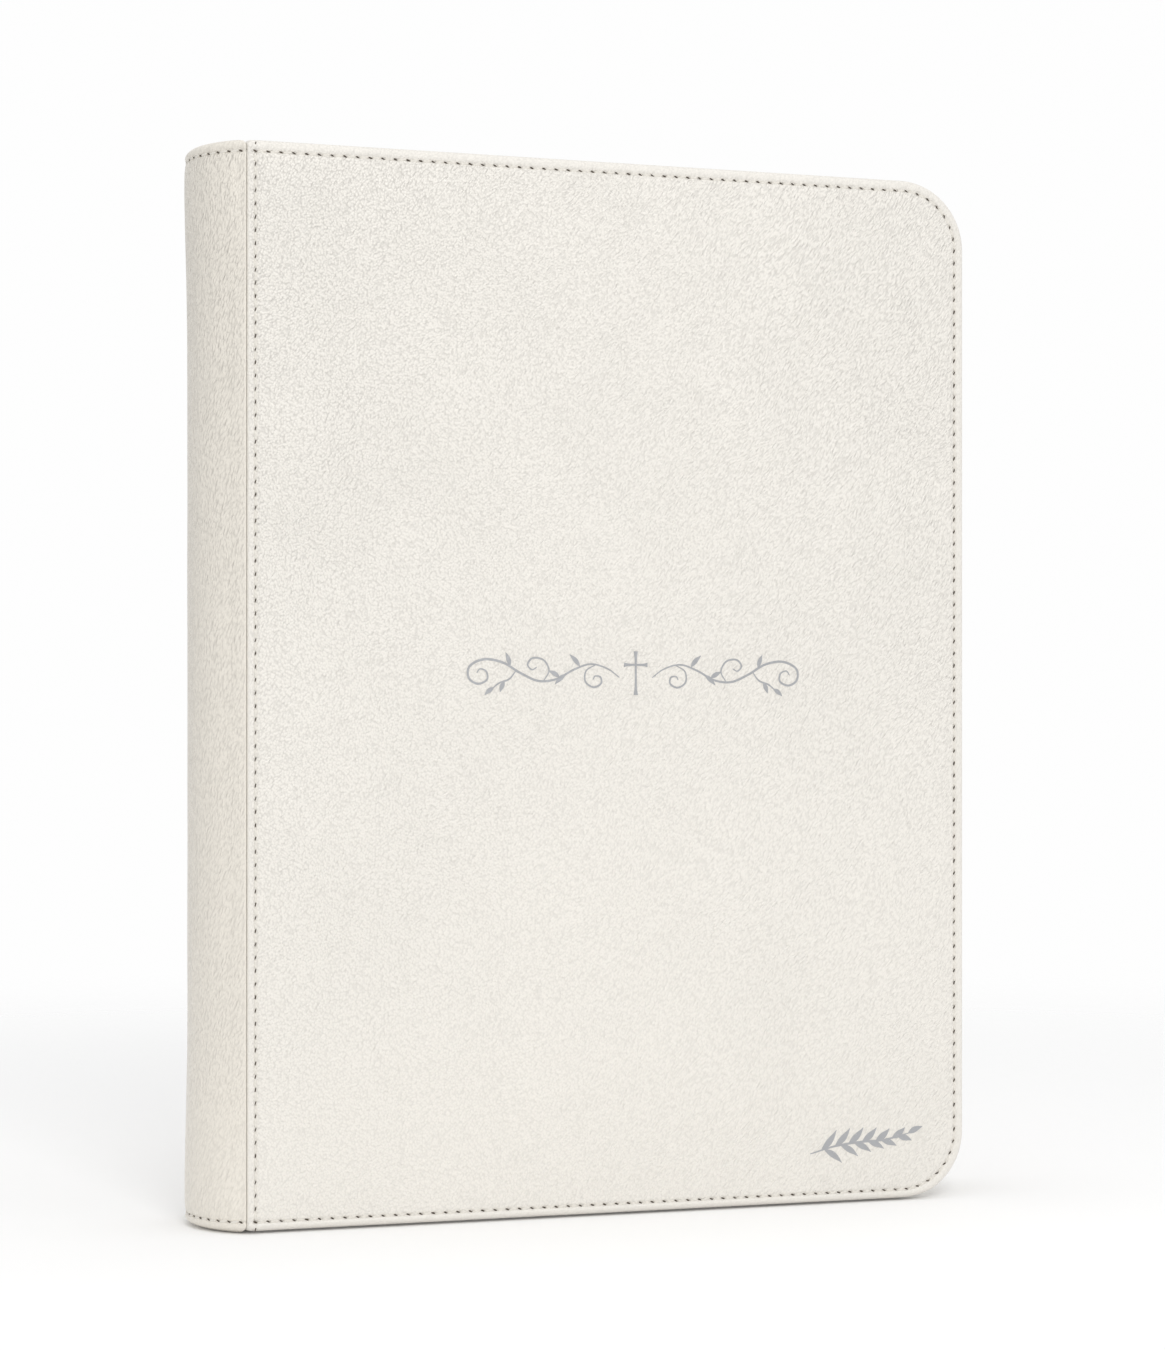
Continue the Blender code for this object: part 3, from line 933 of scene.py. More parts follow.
def crease_noise(s, z, seed):
    """Upright creases of a skin drawn round a spine: a sum of slanting waves with drifting strength."""
    rng = np.random.default_rng(seed)
    waves = 26
    total = np.zeros_like(s)
    for _ in range(waves):
        across = rng.uniform(600, 2400)
        up = rng.normal(0, 90)
        phase = rng.uniform(0, 2 * math.pi)
        drift = rng.uniform(20, 70)
        wander = 0.8 * np.sin(z * drift + rng.uniform(0, 6.3))
        patches = z * rng.uniform(15, 60) + s * rng.uniform(40, 160) + rng.uniform(0, 6.3)
        total += (0.5 + 0.5 * np.sin(patches)) * np.sin(s * across + z * up + phase + wander)
    return total / waves


def spine_leather(case, stitches, material):
    """The spine's skin: a section from tail to head, drawn round from one lap seam to the other."""
    share, half_length = spine_columns(case, stitches.pitch / 5)
    outer = spine_loop(case)
    inside = spine_inside()
    row = Row(2 * half_length, stitches.pitch)
    rings = []
    rims = []
    for part in share:
        s = part * half_length
        inset = np.array([r for r, _ in outer])
        z = np.array([h for _, h in outer])
        around = np.full_like(z, s)
        to_seam = np.full_like(z, half_length - abs(s))
        edge = np.minimum(z, HEIGHT - z)
        radius = SPINE_RADIUS - inset - round_drop(to_seam, case.seam_round)
        radius = radius + case.rim_swell * bell(edge - 1.75 * MM, 0.8 * MM)
        along = around + half_length - row.pitch / 2
        radius = radius + row_dip(case, edge - ROW_INSET, along, row.pitch, case.groove_depth)
        radius = radius + case.seam_bead * bell(to_seam - 0.55 * MM, 0.22 * MM)
        clear = ease(to_seam, 0.8 * MM, 5 * MM)
        radius = radius + case.pad_rise * ease(edge, 3.2 * MM, 6 * MM) * clear
        radius = radius - (case.waist + case.pad_rise) * ease(edge, 7 * MM, 50 * MM) * clear
        creases = crease_noise(around, z, CREASE_SEED)
        radius = radius + 0.30 * MM * ease(edge, 3.4 * MM, 9 * MM) * clear * creases
        radius = np.concatenate([radius, SPINE_RADIUS - np.array([r for r, _ in inside])])
        z = np.concatenate([z, [h for _, h in inside]])
        angle = part * spine_angle(radius)
        z = foot_lift(z, (radius - SPINE_RADIUS + 2.9 * MM) / (0.9 * MM))
        to_seam = np.full_like(z, half_length - abs(s))
        z = seam_notch(z, to_seam)
        rings.append(level_ring(SPINE_CENTRE_X - radius * np.cos(angle), radius * np.sin(angle), z))
        low = np.minimum(z, HEIGHT - z)
        rims.append(1 - ease(low, 2.3 * MM, 3.3 * MM) * ease(to_seam, 0.2 * MM, 0.9 * MM))
    size = len(rings[0])
    points = np.concatenate(rings)
    faces = ring_faces(len(rings), size)
    faces += [cap(0, size, True), cap((len(rings) - 1) * size, size, False)]
    return new_object("spine_skin", points, faces, material, 50, {"rim": np.concatenate(rims)})


class PRAYERBOOK_OT_spine(bpy.types.Operator):
    """Makes the spine's leather, drawn in between its rims"""

    bl_idname = "prayerbook.spine"
    bl_label = "Spine"

    def execute(self, context):
        case = settings_of("prayerbook_case")
        stitches = settings_of("prayerbook_stitches")
        warm = tuple(np.array(case.leather_colour) * (1.0, 0.985, 0.955))
        paint = leather_paint("spine_leather_finish", warm, cell=0.66 * MM, lean=(14.0, 14.0, 0.0),
                              drawn=(0.8, 0.8), relief=0.16 * MM)
        skin = spine_leather(case, stitches, paint)
        place_piece(skin, "spine", "ivory_leather", "spine_leather")
        return {"FINISHED"}


# ---------------------------------------------------------------- stitch rows


def lens_mesh(name, length, width, height, dive, rings=7, twist=0.0):
    """A spindle along X. Its ends dive by `dive`, as a thread does where it goes down through the skin."""
    sides = 8
    points = []
    for ring in range(1, rings):
        t = -1 + 2 * ring / rings
        girth = (1 - t * t) ** 0.42
        for side in range(sides):
            angle = 2 * math.pi * side / sides + twist * t
            y = 0.5 * width * girth * math.cos(angle)
            z = 0.5 * height * girth * math.sin(angle) - dive * t ** 4
            points.append((0.5 * length * t, y, z))
    faces = ring_faces(rings - 1, sides, flip=True)
    points += [(-0.5 * length, 0.0, -dive), (0.5 * length, 0.0, -dive)]
    tail, tip = len(points) - 2, len(points) - 1
    last = (rings - 2) * sides
    for i in range(sides):
        j = (i + 1) % sides
        faces.append((tail, i, j)[::-1])
        faces.append((tip, last + j, last + i)[::-1])
    return plain_mesh(name, points, faces)


def row_tree():
    """Sets one copy of a small piece on each point, along the row and facing out, with a small slant."""
    t = GeometryTree("row_of_stitches", {
        "Piece": "NodeSocketObject",
        "Slant": "NodeSocketFloat",
        "Unevenness": "NodeSocketFloat",
        "Seed": "NodeSocketInt",
        "Material": "NodeSocketMaterial",
    })
    given = t.entry.outputs
    vector = {"data_type": "FLOAT_VECTOR"}
    single = {"data_type": "FLOAT"}
    along = t.node("GeometryNodeInputNamedAttribute", vector, {"Name": "along"})
    outward = t.node("GeometryNodeInputNamedAttribute", vector, {"Name": "outward"})
    facing = t.node("FunctionNodeAxesToRotation", {"primary_axis": "Z", "secondary_axis": "X"}, {
        "Primary Axis": outward.outputs["Attribute"], "Secondary Axis": along.outputs["Attribute"]})
    wobble = t.node("FunctionNodeRandomValue", single, {"Min": -1.0, "Max": 1.0, "Seed": given["Seed"]})
    uneven = t.node("ShaderNodeMath", {"operation": "MULTIPLY"}, {
        0: wobble.outputs[1], 1: given["Unevenness"]})
    angle = t.node("ShaderNodeMath", {"operation": "ADD"}, {0: given["Slant"], 1: uneven.outputs[0]})
    spin = t.node("FunctionNodeAxisAngleToRotation", None, {
        "Axis": (0.0, 0.0, 1.0), "Angle": angle.outputs[0]})
    turned = t.node("FunctionNodeRotateRotation", {"rotation_space": "LOCAL"}, {
        "Rotation": facing.outputs[0], "Rotate By": spin.outputs[0]})
    size = t.node("FunctionNodeRandomValue", single, {"Min": 0.92, "Max": 1.08, "Seed": given["Seed"]})
    piece = t.node("GeometryNodeObjectInfo", None, {"Object": given["Piece"]})
    points = t.node("GeometryNodeMeshToPoints", None, {"Mesh": given["Geometry"]})
    copies = t.node("GeometryNodeInstanceOnPoints", None, {
        "Points": points.outputs[0], "Instance": piece.outputs["Geometry"],
        "Rotation": turned.outputs[0], "Scale": size.outputs[1]})
    real = t.node("GeometryNodeRealizeInstances", None, {"Geometry": copies.outputs[0]})
    paint = t.node("GeometryNodeSetMaterial", None, {
        "Geometry": real.outputs[0], "Material": given["Material"]})
    t.close(paint.outputs[0])
    return t.group


def shape_with_nodes(name, base_mesh, group, inputs):
    """Runs a Geometry Nodes tree on a mesh and keeps the result as a plain mesh object."""
    holder = bpy.data.objects.new(name + "_holder", base_mesh)
    bpy.context.scene.collection.objects.link(holder)
    modifier = holder.modifiers.new("make", "NODES")
    modifier.node_group = group
    for item in group.interface.items_tree:
        if item.item_type == "SOCKET" and item.in_out == "INPUT" and item.name in inputs:
            modifier[item.identifier] = inputs[item.name]
    graph = bpy.context.evaluated_depsgraph_get()
    mesh = bpy.data.meshes.new_from_object(holder.evaluated_get(graph))
    bpy.data.objects.remove(holder)
    mesh.name = name
    mesh.shade_smooth()
    mesh.set_sharp_from_angle(angle=math.radians(60))
    obj = bpy.data.objects.new(name, mesh)
    bpy.context.scene.collection.objects.link(obj)
    return obj


def row_points(name, places):
    """A mesh of loose points that carry the row's direction and the way out of the skin."""
    mesh = bpy.data.meshes.new(name)
    mesh.from_pydata([place for place, _, _ in places], [], [])
    store(mesh, "along", [along for _, along, _ in places])
    store(mesh, "outward", [outward for _, _, outward in places])
    return mesh


def cover_edge_places(side, depth, outward, stations):
    """Places along the row round head, fore-edge and tail: each a point, the row's direction, the way out."""
    places = []
    for station in stations:
        (x, z), (dx, dz) = edge_row_place(LAP_INSET + station)
        places.append(((x, side * depth, z), (dx, 0.0, dz), (0.0, outward, 0.0)))
    return places


def cover_lap_places(side, depth, stations):
    """The same for the upright row beside the lap seam."""
    x = LEFT + LAP_INSET
    up = (0.0, 0.0, 1.0)
    return [((x, side * depth, ROW_INSET + station), up, (0.0, side, 0.0)) for station in stations]


def spine_row_places(height, depth, stations, half_length):
    """The same for a row round the spine at this height."""
    radius = SPINE_RADIUS - depth
    places = []
    for station in stations:
        angle = (station - half_length) / SPINE_RADIUS
        point = (SPINE_CENTRE_X - radius * math.cos(angle), radius * math.sin(angle), height)
        outward = (-math.cos(angle), math.sin(angle), 0.0)
        along = (-math.sin(angle), -math.cos(angle), 0.0)
        places.append((point, along, outward))
    return places


class PRAYERBOOK_OT_stitches(bpy.types.Operator):
    """Sews every row: edge, lap and spine rows, thread and needle holes"""

    bl_idname = "prayerbook.stitches"
    bl_label = "Stitch rows"

    def execute(self, context):
        case = settings_of("prayerbook_case")
        stitches = settings_of("prayerbook_stitches")
        tree = row_tree()
        hole_size = (stitches.hole_length, stitches.hole_width)
        thread = lens_mesh("one_stitch", stitches.length, stitches.width, 0.44 * MM, 0.16 * MM, twist=0.5)
        hole = lens_mesh("one_hole", *hole_size, 0.16 * MM, 0.0, rings=6)
        slim = lens_mesh("slim_hole", hole_size[0], 0.8 * hole_size[1], 0.16 * MM, 0.0, rings=6)
        thread, hole, slim = (bpy.data.objects.new(mesh.name, mesh) for mesh in (thread, hole, slim))
        thread_look = thread_paint("sewing_thread", stitches.thread_colour)
        hole_shade_look = hole_shade_paint("needle_hole", stitches.hole_shade_colour)
        # The hole rows are dark lenses laid on the skin, painted shade for the shadow down in each needle
        # hole.
        kinds = (
            ("stitches", thread, thread, thread_look, 0.14 * MM, stitches.thread_slant),
            ("holes", hole, slim, hole_shade_look, 0.03 * MM, stitches.hole_slant),
        )
        unevenness = math.radians(5)
        packed = set(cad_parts)
        for kind, wide, narrow, material, lift, slant in kinds:
            for name, body, part, lean, places in self.rows(case, stitches, kind, wide, narrow, lift):
                piece = shape_with_nodes(name, row_points(name, places), tree, {
                    "Piece": part, "Slant": slant * lean, "Unevenness": unevenness,
                    "Seed": stitches.seed, "Material": material})
                stands_for = {name.replace("stitches", "thread")} & packed
                place_piece(piece, body, "thread", *stands_for)
        return {"FINISHED"}

    def rows(self, case, stitches, kind, wide, narrow, lift):
        """Every row of threads or of holes: name, body, copied part, share and sign of the slant, places."""
        edge = edge_row(stitches.pitch)
        lap = lap_row(stitches.pitch)
        half_length = SPINE_RADIUS * float(spine_angle(SPINE_RADIUS))
        across = Row(2 * half_length, stitches.pitch)
        if kind == "stitches":
            on_edge, on_lap, on_spine = edge.threads(), lap.threads(), across.holes()[1:-1]
        else:
            on_edge, on_lap, on_spine = edge.holes(), lap.holes()[1:-1], across.threads()
        groove = HALF - case.groove_depth + lift
        lap_groove = HALF - GROOVE_SHARE * case.groove_depth + lift
        inner = EDGE_FACE + 0.2 * MM - lift
        lap_lean = 0.6
        beyond = 0.55 * lap.pitch
        in_rim = (-beyond, lap.holes()[-1] + beyond)
        rim = float(cover_height(case, stitches, np.array(LEFT + LAP_INSET), np.array(ROW_INSET - beyond)))
        found = []
        for word, side in (("front", -1), ("back", 1)):
            body = f"{word}_cover"
            slanted = -side * lap_lean
            if kind == "holes":
                found.append((f"{word}_rim_holes", body, narrow, slanted,
                              cover_lap_places(side, rim + 0.08 * MM, in_rim)))
            found.append((f"{word}_edge_{kind}", body, wide, -side,
                          cover_edge_places(side, groove, side, on_edge)))
            found.append((f"{word}_lap_{kind}", body, narrow, slanted,
                          cover_lap_places(side, lap_groove, on_lap)))
            found.append((f"{word}_inner_{kind}", body, wide, -side,
                          cover_edge_places(side, inner, -side, on_edge)))
        for word, height in (("tail", ROW_INSET), ("head", HEIGHT - ROW_INSET)):
            found.append((f"spine_{word}_{kind}", "spine", wide, 1.0,
                          spine_row_places(height, case.groove_depth - lift, on_spine, half_length)))
        return found


# ---------------------------------------------------------------- joints between covers and spine


def ribbon_solid(name, path, thickness, bottom, top, material):
    """A thin strip: a path of (x, y) points given a thickness and drawn up from bottom to top."""
    path = np.array(path, float)
    ahead = np.gradient(path, axis=0)
    ahead /= np.linalg.norm(ahead, axis=1, keepdims=True)
    normal = np.stack([-ahead[:, 1], ahead[:, 0]], 1) * thickness / 2
    loop = np.concatenate([path + normal, (path - normal)[::-1]])
    size = len(loop)
    points = np.concatenate([np.column_stack([loop, np.full(size, z)]) for z in (bottom, top)])
    faces = ring_faces(2, size)
    for i in range(size // 2 - 1):
        faces.append((i, size - 1 - i, size - 2 - i, i + 1)[::-1])
        faces.append((size + i, 2 * size - 1 - i, 2 * size - 2 - i, size + i + 1))
    if signed_volume(points, faces) < 0:
        faces = [face[::-1] for face in faces]
    return new_object(name, points, faces, material, 60, {"rest_place": points})


def signed_volume(points, faces):
    """The volume inside closed faces, which is below zero where they face inwards."""
    total = 0.0
    for face in faces:
        a = points[face[0]]
        for i in range(1, len(face) - 1):
            total += float(np.dot(a, np.cross(points[face[i]], points[face[i + 1]])))
    return total / 6


class PRAYERBOOK_OT_joints(bpy.types.Operator):
    """Makes the cloth joints that line the fold between each cover and the spine"""

    bl_idname = "prayerbook.joints"
    bl_label = "Cloth joints"

    def execute(self, context):
        leaves = settings_of("prayerbook_leaves")
        paint = endpaper_paint("joint_paper", leaves.endpaper_colour, kept=True)
        pastedown_low, pastedown_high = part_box("front_pastedown")
        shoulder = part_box("section_01")[0]
        cloth = 0.07 * MM
        gap = 0.55 * SEAM_GAP
        deep = HALF - 1.2 * MM          # the top of the fold
        corner = deep - 0.2 * MM
        wall = deep - 0.6 * MM
        low_wall = 14.5 * MM
        on_lining = 12.76 * MM
        path = [
            (shoulder.x + 4.5 * MM, 11.53 * MM), (shoulder.x + 0.6 * MM, 11.55 * MM),
            (SEAM_X + 0.5 * MM, 11.9 * MM), (SEAM_X - gap, 12.9 * MM), (SEAM_X - gap, low_wall),
            (SEAM_X - gap, wall), (SEAM_X - 0.7 * gap, corner), (SEAM_X - 0.3 * gap, deep),
            (SEAM_X + 0.3 * gap, deep), (SEAM_X + 0.7 * gap, corner), (SEAM_X + gap, wall),
            (SEAM_X + gap, low_wall), (SEAM_X + gap, 13.2 * MM), (SEAM_X + 0.35 * MM, 12.82 * MM),
            (SEAM_X + 1.4 * MM, on_lining), (pastedown_low.x + 3.0 * MM, on_lining),
        ]
        bottom = pastedown_low.z + 0.5 * MM
        top = pastedown_high.z - 0.5 * MM
        for word, side in (("front", -1), ("back", 1)):
            mirrored = [(x, side * y) for x, y in path]
            strip = ribbon_solid(f"{word}_joint", mirrored, cloth, bottom, top, paint)
            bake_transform(strip)
        return {"FINISHED"}


# ---------------------------------------------------------------- leaves


def leaf_columns(width):
    """Distances from the fold: close where a leaf bends and round the fore-edge corners."""
    corner = [width / MM - LEAF_CORNER / MM * (1 - math.sin(math.radians(a))) for a in range(0, 91, 10)]
    return np.array([*LEAF_STEPS, *corner]) * MM


def leaf_ends(u, width, bottom, top):
    """Lowest and highest point of a leaf at each distance from its fold."""
    reach = np.clip(u - (width - LEAF_CORNER), 0, LEAF_CORNER)
    drop = LEAF_CORNER - np.sqrt(LEAF_CORNER ** 2 - reach ** 2)
    return bottom + drop, top - drop


def leaf_block(name, low, high, hinge_low, layers, ruffle, seed, material, root_share=0.42):
    """A gathering of leaves with separate, slightly uneven edges.

    `hinge_low` says which face has the hinge, and `root_share` how thin the gathering is at its fold.
    """
    rng = np.random.default_rng(seed)
    width = high.x - low.x
    u = leaf_columns(width)
    bottom, top = leaf_ends(u, width, low.z, high.z)
    rows = 2 * layers + 1
    share = np.linspace(0, 1, rows)
    offsets = np.zeros((3, rows))
    offsets[:, 1::2] = rng.uniform(-1, 1, (3, layers)) * ruffle
    offsets[:, 0::2] = -1.3 * ruffle
    offsets = offsets - offsets.max()
    taper = root_share + (1 - root_share) * ease(u, 0.0, 9.0 * MM)
    fade = ease(u, 1.0 * MM, 6.0 * MM)
    points = np.zeros((len(u), 2, rows, 3))
    for k in range(rows):
        across = share[k] if hinge_low else 1 - share[k]
        y = across * taper * (high.y - low.y)
        x = low.x + u
        x[-1] += offsets[2, k]
        for end, edge, sign in ((0, bottom, -1), (1, top, 1)):
            points[:, end, k, 0] = x
            points[:, end, k, 1] = low.y + y if hinge_low else high.y - y
            points[:, end, k, 2] = edge + sign * offsets[end, k] * fade
    if not hinge_low:
        points = points[:, :, ::-1]
    return block_object(name, points, material)


def block_object(name, points, material):
    """Closes a grid of [column, end, row] points into a block. Rows run from front to back."""
    columns, _, rows, _ = points.shape
    at = np.arange(columns * 2 * rows).reshape(columns, 2, rows).tolist()
    faces = []
    for here, ahead in zip(at, at[1:]):
        for k in range(rows - 1):
            faces.append((here[1][k], ahead[1][k], ahead[1][k + 1], here[1][k + 1]))
            faces.append((here[0][k], here[0][k + 1], ahead[0][k + 1], ahead[0][k]))
        faces.append((here[0][0], ahead[0][0], ahead[1][0], here[1][0]))
        faces.append((here[0][-1], here[1][-1], ahead[1][-1], ahead[0][-1]))
    fold, fore = at[0], at[-1]
    for k in range(rows - 1):
        faces.append((fold[0][k], fold[1][k], fold[1][k + 1], fold[0][k + 1]))
        faces.append((fore[0][k], fore[0][k + 1], fore[1][k + 1], fore[1][k]))
    edge = np.zeros((columns, 2, rows))
    edge[:, :, 1:-1] = 1.0
    flat = points.reshape(-1, 3)
    return new_object(name, flat, faces, material, 35, {"rest_place": flat, "leaf_edge": edge.ravel()})


class PRAYERBOOK_OT_leaves(bpy.types.Operator):
    """Makes the sections of leaves and the two flyleaves"""

    bl_idname = "prayerbook.leaves"
    bl_label = "Leaves"

    def execute(self, context):
        leaves = settings_of("prayerbook_leaves")
        paper = paper_paint("book_paper", leaves.paper_colour, kept=True)
        names = sorted(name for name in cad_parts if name.startswith("section_"))
        half = len(names) // 2
        grow = 0.13 * MM
        for index, name in enumerate(names):
            low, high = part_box(name)
            front = index < half
            low = Vector((low.x, low.y - (0.0 if front else grow), low.z))
            high = Vector((high.x, high.y + (grow if front else 0.0), high.z))
            block = leaf_block(f"{name}_leaves", low, high, front, leaves.layers, leaves.ruffle,
                               SECTION_SEED + index, paper)
            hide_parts(name)
            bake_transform(block)
        self.make_flyleaves(leaves, names)
        return {"FINISHED"}

    def make_flyleaves(self, leaves, names):
        paint = endpaper_paint("flyleaf_paper", leaves.endpaper_colour, kept=True)
        for word, neighbour in (("front", names[0]), ("back", names[-1])):
            low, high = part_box(f"{word}_flyleaf")
            middle = (low.y + high.y) / 2
            at_fold = Vector((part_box(neighbour)[0].x + 0.4 * MM, middle - leaves.sheet / 2, low.z))
            at_edge = Vector((high.x, middle + leaves.sheet / 2, high.z))
            sheet = leaf_block(f"{word}_flyleaf_sheet", at_fold, at_edge, True, 3, 0.0,
                               FLYLEAF_SEED, paint, 1.0)
            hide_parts(f"{word}_flyleaf")
            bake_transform(sheet)


# ---------------------------------------------------------------- bands


def band_places(word):
    """Places along a head or tail band, from its front end to its back end."""
    low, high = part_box(f"{word}_band")
    half = (high.y - low.y) / 2 - 0.4 * MM
    middle_z = (low.z + high.z) / 2
    bow = (high.x - low.x) - 2.0 * MM
    count = 58
    places = []
    for index in range(count):
        y = -half + 2 * half * index / (count - 1)
        x = low.x + 1.0 * MM + bow * (y / half) ** 2
        slope = 2 * bow * y / half ** 2
        size = math.hypot(slope, 1)
        places.append(((x, y, middle_z), (slope / size, 1 / size, 0.0), (0.0, 0.0, 1.0)))
    return places


def wrap_mesh(name, radius, thread):
    """One turn of silk round a core that runs along X."""
    points = []
    around, sides = 14, 5
    for i in range(around):
        angle = 2 * math.pi * i / around
        for j in range(sides):
            small = 2 * math.pi * j / sides
            reach = radius + thread * math.cos(small)
            points.append((thread * math.sin(small) + 0.12 * thread * math.sin(angle),
                           reach * math.cos(angle), reach * math.sin(angle)))
    faces = []
    for i in range(around):
        for j in range(sides):
            a, b = i * sides + j, i * sides + (j + 1) % sides
            c, d = ((i + 1) % around) * sides + (j + 1) % sides, ((i + 1) % around) * sides + j
            faces.append((a, d, c, b))
    if signed_volume(np.array(points), faces) < 0:
        faces = [face[::-1] for face in faces]
    return plain_mesh(name, points, faces)


class PRAYERBOOK_OT_bands(bpy.types.Operator):
    """Winds the silk bands at the head and tail of the block"""

    bl_idname = "prayerbook.bands"
    bl_label = "Head and tail bands"

    def execute(self, context):
        leaves = settings_of("prayerbook_leaves")
        tree = row_tree()
        wrap = bpy.data.objects.new("one_wrap", wrap_mesh("one_wrap", 0.74 * MM, 0.22 * MM))
        tones = (("light", silk_paint("light_silk", leaves.silk_colour)),
                 ("pale", silk_paint("pale_silk", (0.86, 0.84, 0.79))))
        core = silk_paint("band_core", shade(leaves.silk_colour, 0.9))
        for word in ("head", "tail"):
            places = band_places(word)
            for offset, (tone, paint) in enumerate(tones):
                chosen = [place for i, place in enumerate(places) if (i // 2) % 2 == offset]
                name = f"{word}_band_{tone}_silk"
                piece = shape_with_nodes(name, row_points(name, chosen), tree, {
                    "Piece": wrap, "Slant": 0.0, "Unevenness": math.radians(3), "Seed": BAND_SEED,
                    "Material": paint})
                place_piece(piece, "spine", "band_silk")
            path = [(place[0], place[1]) for place, _, _ in places]
            z = places[0][0][2]
            body = ribbon_solid(f"{word}_band_core", path, 1.15 * MM, z - 0.55 * MM, z + 0.55 * MM, core)
            place_piece(body, "spine", "band_silk", f"{word}_band")
        return {"FINISHED"}


# ---------------------------------------------------------------- foil ornaments


def stroke(points, widths, depth, height):
    """A pressed foil line: a flat ribbon of changing width, as (points, faces)."""
    path = np.array(points, float)
    ahead = np.gradient(path, axis=0)
    ahead /= np.maximum(np.linalg.norm(ahead, axis=1, keepdims=True), 1e-9)
    side = np.stack([-ahead[:, 1], ahead[:, 0]], 1) * (np.array(widths)[:, None] / 2)
    made = []
    for place, offset in zip(path, side):
        left, right = place + offset, place - offset
        made += [(left[0], depth - height, left[1]), (left[0], depth, left[1]),
                 (right[0], depth, right[1]), (right[0], depth - height, right[1])]
    faces = ring_faces(len(path), 4)
    faces += [(3, 2, 1, 0), tuple(4 * (len(path) - 1) + i for i in range(4))]
    return made, faces


def join_strokes(name, strokes, material):
    """All strokes of one ornament as one mesh on the front cover, each facing outwards."""
    points = []
    faces = []
    for made, own in strokes:
        flipped = [(x, -y, z) for x, y, z in made]
        if signed_volume(np.array(flipped), own) < 0:
            own = [face[::-1] for face in own]
        faces += [tuple(len(points) + i for i in face) for face in own]
        points += flipped
    return new_object(name, points, faces, material, 30)


def curve_through(points, steps=9):
    """A smooth line through the given points."""
    given = np.array(points, float)
    padded = np.concatenate([2 * given[:1] - given[1:2], given, 2 * given[-1:] - given[-2:-1]])
    t = np.linspace(0, 1, steps, endpoint=False)[:, None]
    pieces = []
    for a, b, c, d in zip(padded, padded[1:], padded[2:], padded[3:]):
        pieces.append(0.5 * (2 * b + (c - a) * t + (2 * a - 5 * b + 4 * c - d) * t ** 2
                             + (3 * b - a - 3 * c + d) * t ** 3))
    return np.concatenate([*pieces, given[-1:]])


def pen_line(points, thin, thick):
    """A curved pen line that starts and ends thin: (points, widths)."""
    path = curve_through(points)
    t = np.linspace(0, 1, len(path))
    return path, thin + (thick - thin) * np.sin(math.pi * t) ** 0.7


def pointed_leaf(base, heading, length, width, bend=0.18):
    """A small pointed leaf with a slightly bent middle: (points, widths)."""
    angle = math.radians(heading)
    ahead = np.array((math.cos(angle), math.sin(angle)))
    aside = np.array((-ahead[1], ahead[0]))
    t = np.linspace(0, 1, 13)
    path = np.array(base) + length * (t[:, None] * ahead + bend * (t * (1 - t))[:, None] * aside)
    return path, 0.10 + width * np.sin(math.pi * t ** 0.85) ** 1.2


def centre_ornament():
    """Half of a cross between long curling pen lines, in millimetres from its middle: (points, widths)."""
    lines = [
        pen_line([(4.4, -1.2), (7.6, 1.0), (12.0, 2.1), (16.6, 0.6), (21.0, -1.7), (25.8, -2.2),
                  (30.6, -0.2), (35.0, 2.3), (39.8, 3.1), (43.6, 1.4), (43.9, -1.5), (41.6, -3.0),
                  (39.2, -2.0), (39.3, 0.0), (40.9, 0.7), (41.8, -0.3)], 0.22, 0.58),
        pen_line([(10.6, 2.0), (13.2, 0.4), (13.4, -2.3), (11.3, -3.7), (9.3, -2.8), (9.4, -1.2),
                  (10.8, -0.9), (11.4, -1.8)], 0.20, 0.46),
        pen_line([(24.4, -2.2), (23.0, 0.4), (24.4, 3.0), (27.2, 3.5), (28.6, 1.9), (27.5, 0.6),
                  (26.2, 1.2)], 0.20, 0.46),
        pen_line([(31.6, 0.4), (33.4, -1.8), (36.0, -2.8), (38.0, -4.4)], 0.18, 0.42),
    ]
    leaves = [((14.9, 1.5), 48, 4.0), ((18.6, -0.5), -42, 3.8), ((33.2, 1.4), 72, 3.6),
              ((34.6, -2.4), -66, 2.9), ((20.2, -1.3), 30, 3.4), ((37.4, -3.9), -38, 3.0)]
    lines += [pointed_leaf(base, heading, length, 1.05) for base, heading, length in leaves]
    return lines


def cross():
    """A plain cross with slightly flared ends, in millimetres from the ornament's middle."""
    lines = []
    for start, end in (((0.0, -5.6), (0.0, 5.4)), ((-3.1, 2.0), (3.1, 2.0))):
        t = np.linspace(0, 1, 11)
        path = np.array(start) + (np.array(end) - np.array(start)) * t[:, None]
        lines.append((path, 0.50 + 0.62 * np.abs(2 * t - 1) ** 4))
    return lines


def corner_ornament(length):
    """A sprig with leaves in pairs, in millimetres from the foot of its stem."""
    stem = [(0.0, -2.6), (length * 0.25, -0.9), (length * 0.5, -0.1), (length * 0.75, 0.2), (length, 1.6)]
    path, widths = pen_line(stem, 0.24, 0.56)
    lines = [(path, widths)]
    for index in range(6):
        share = 0.10 + 0.145 * index
        base = path[round(share * (len(path) - 1))]
        size = 6.6 - 0.42 * index
        lines.append(pointed_leaf(base, 50 - 3 * index, size, 1.55, -0.22))
        base = path[round((share + 0.05) * (len(path) - 1))]
        lines.append(pointed_leaf(base, -36 + 4 * index, size * 0.94, 1.45, 0.22))
    lines.append(pointed_leaf(path[-1], 22, 4.4, 1.4))
    return lines


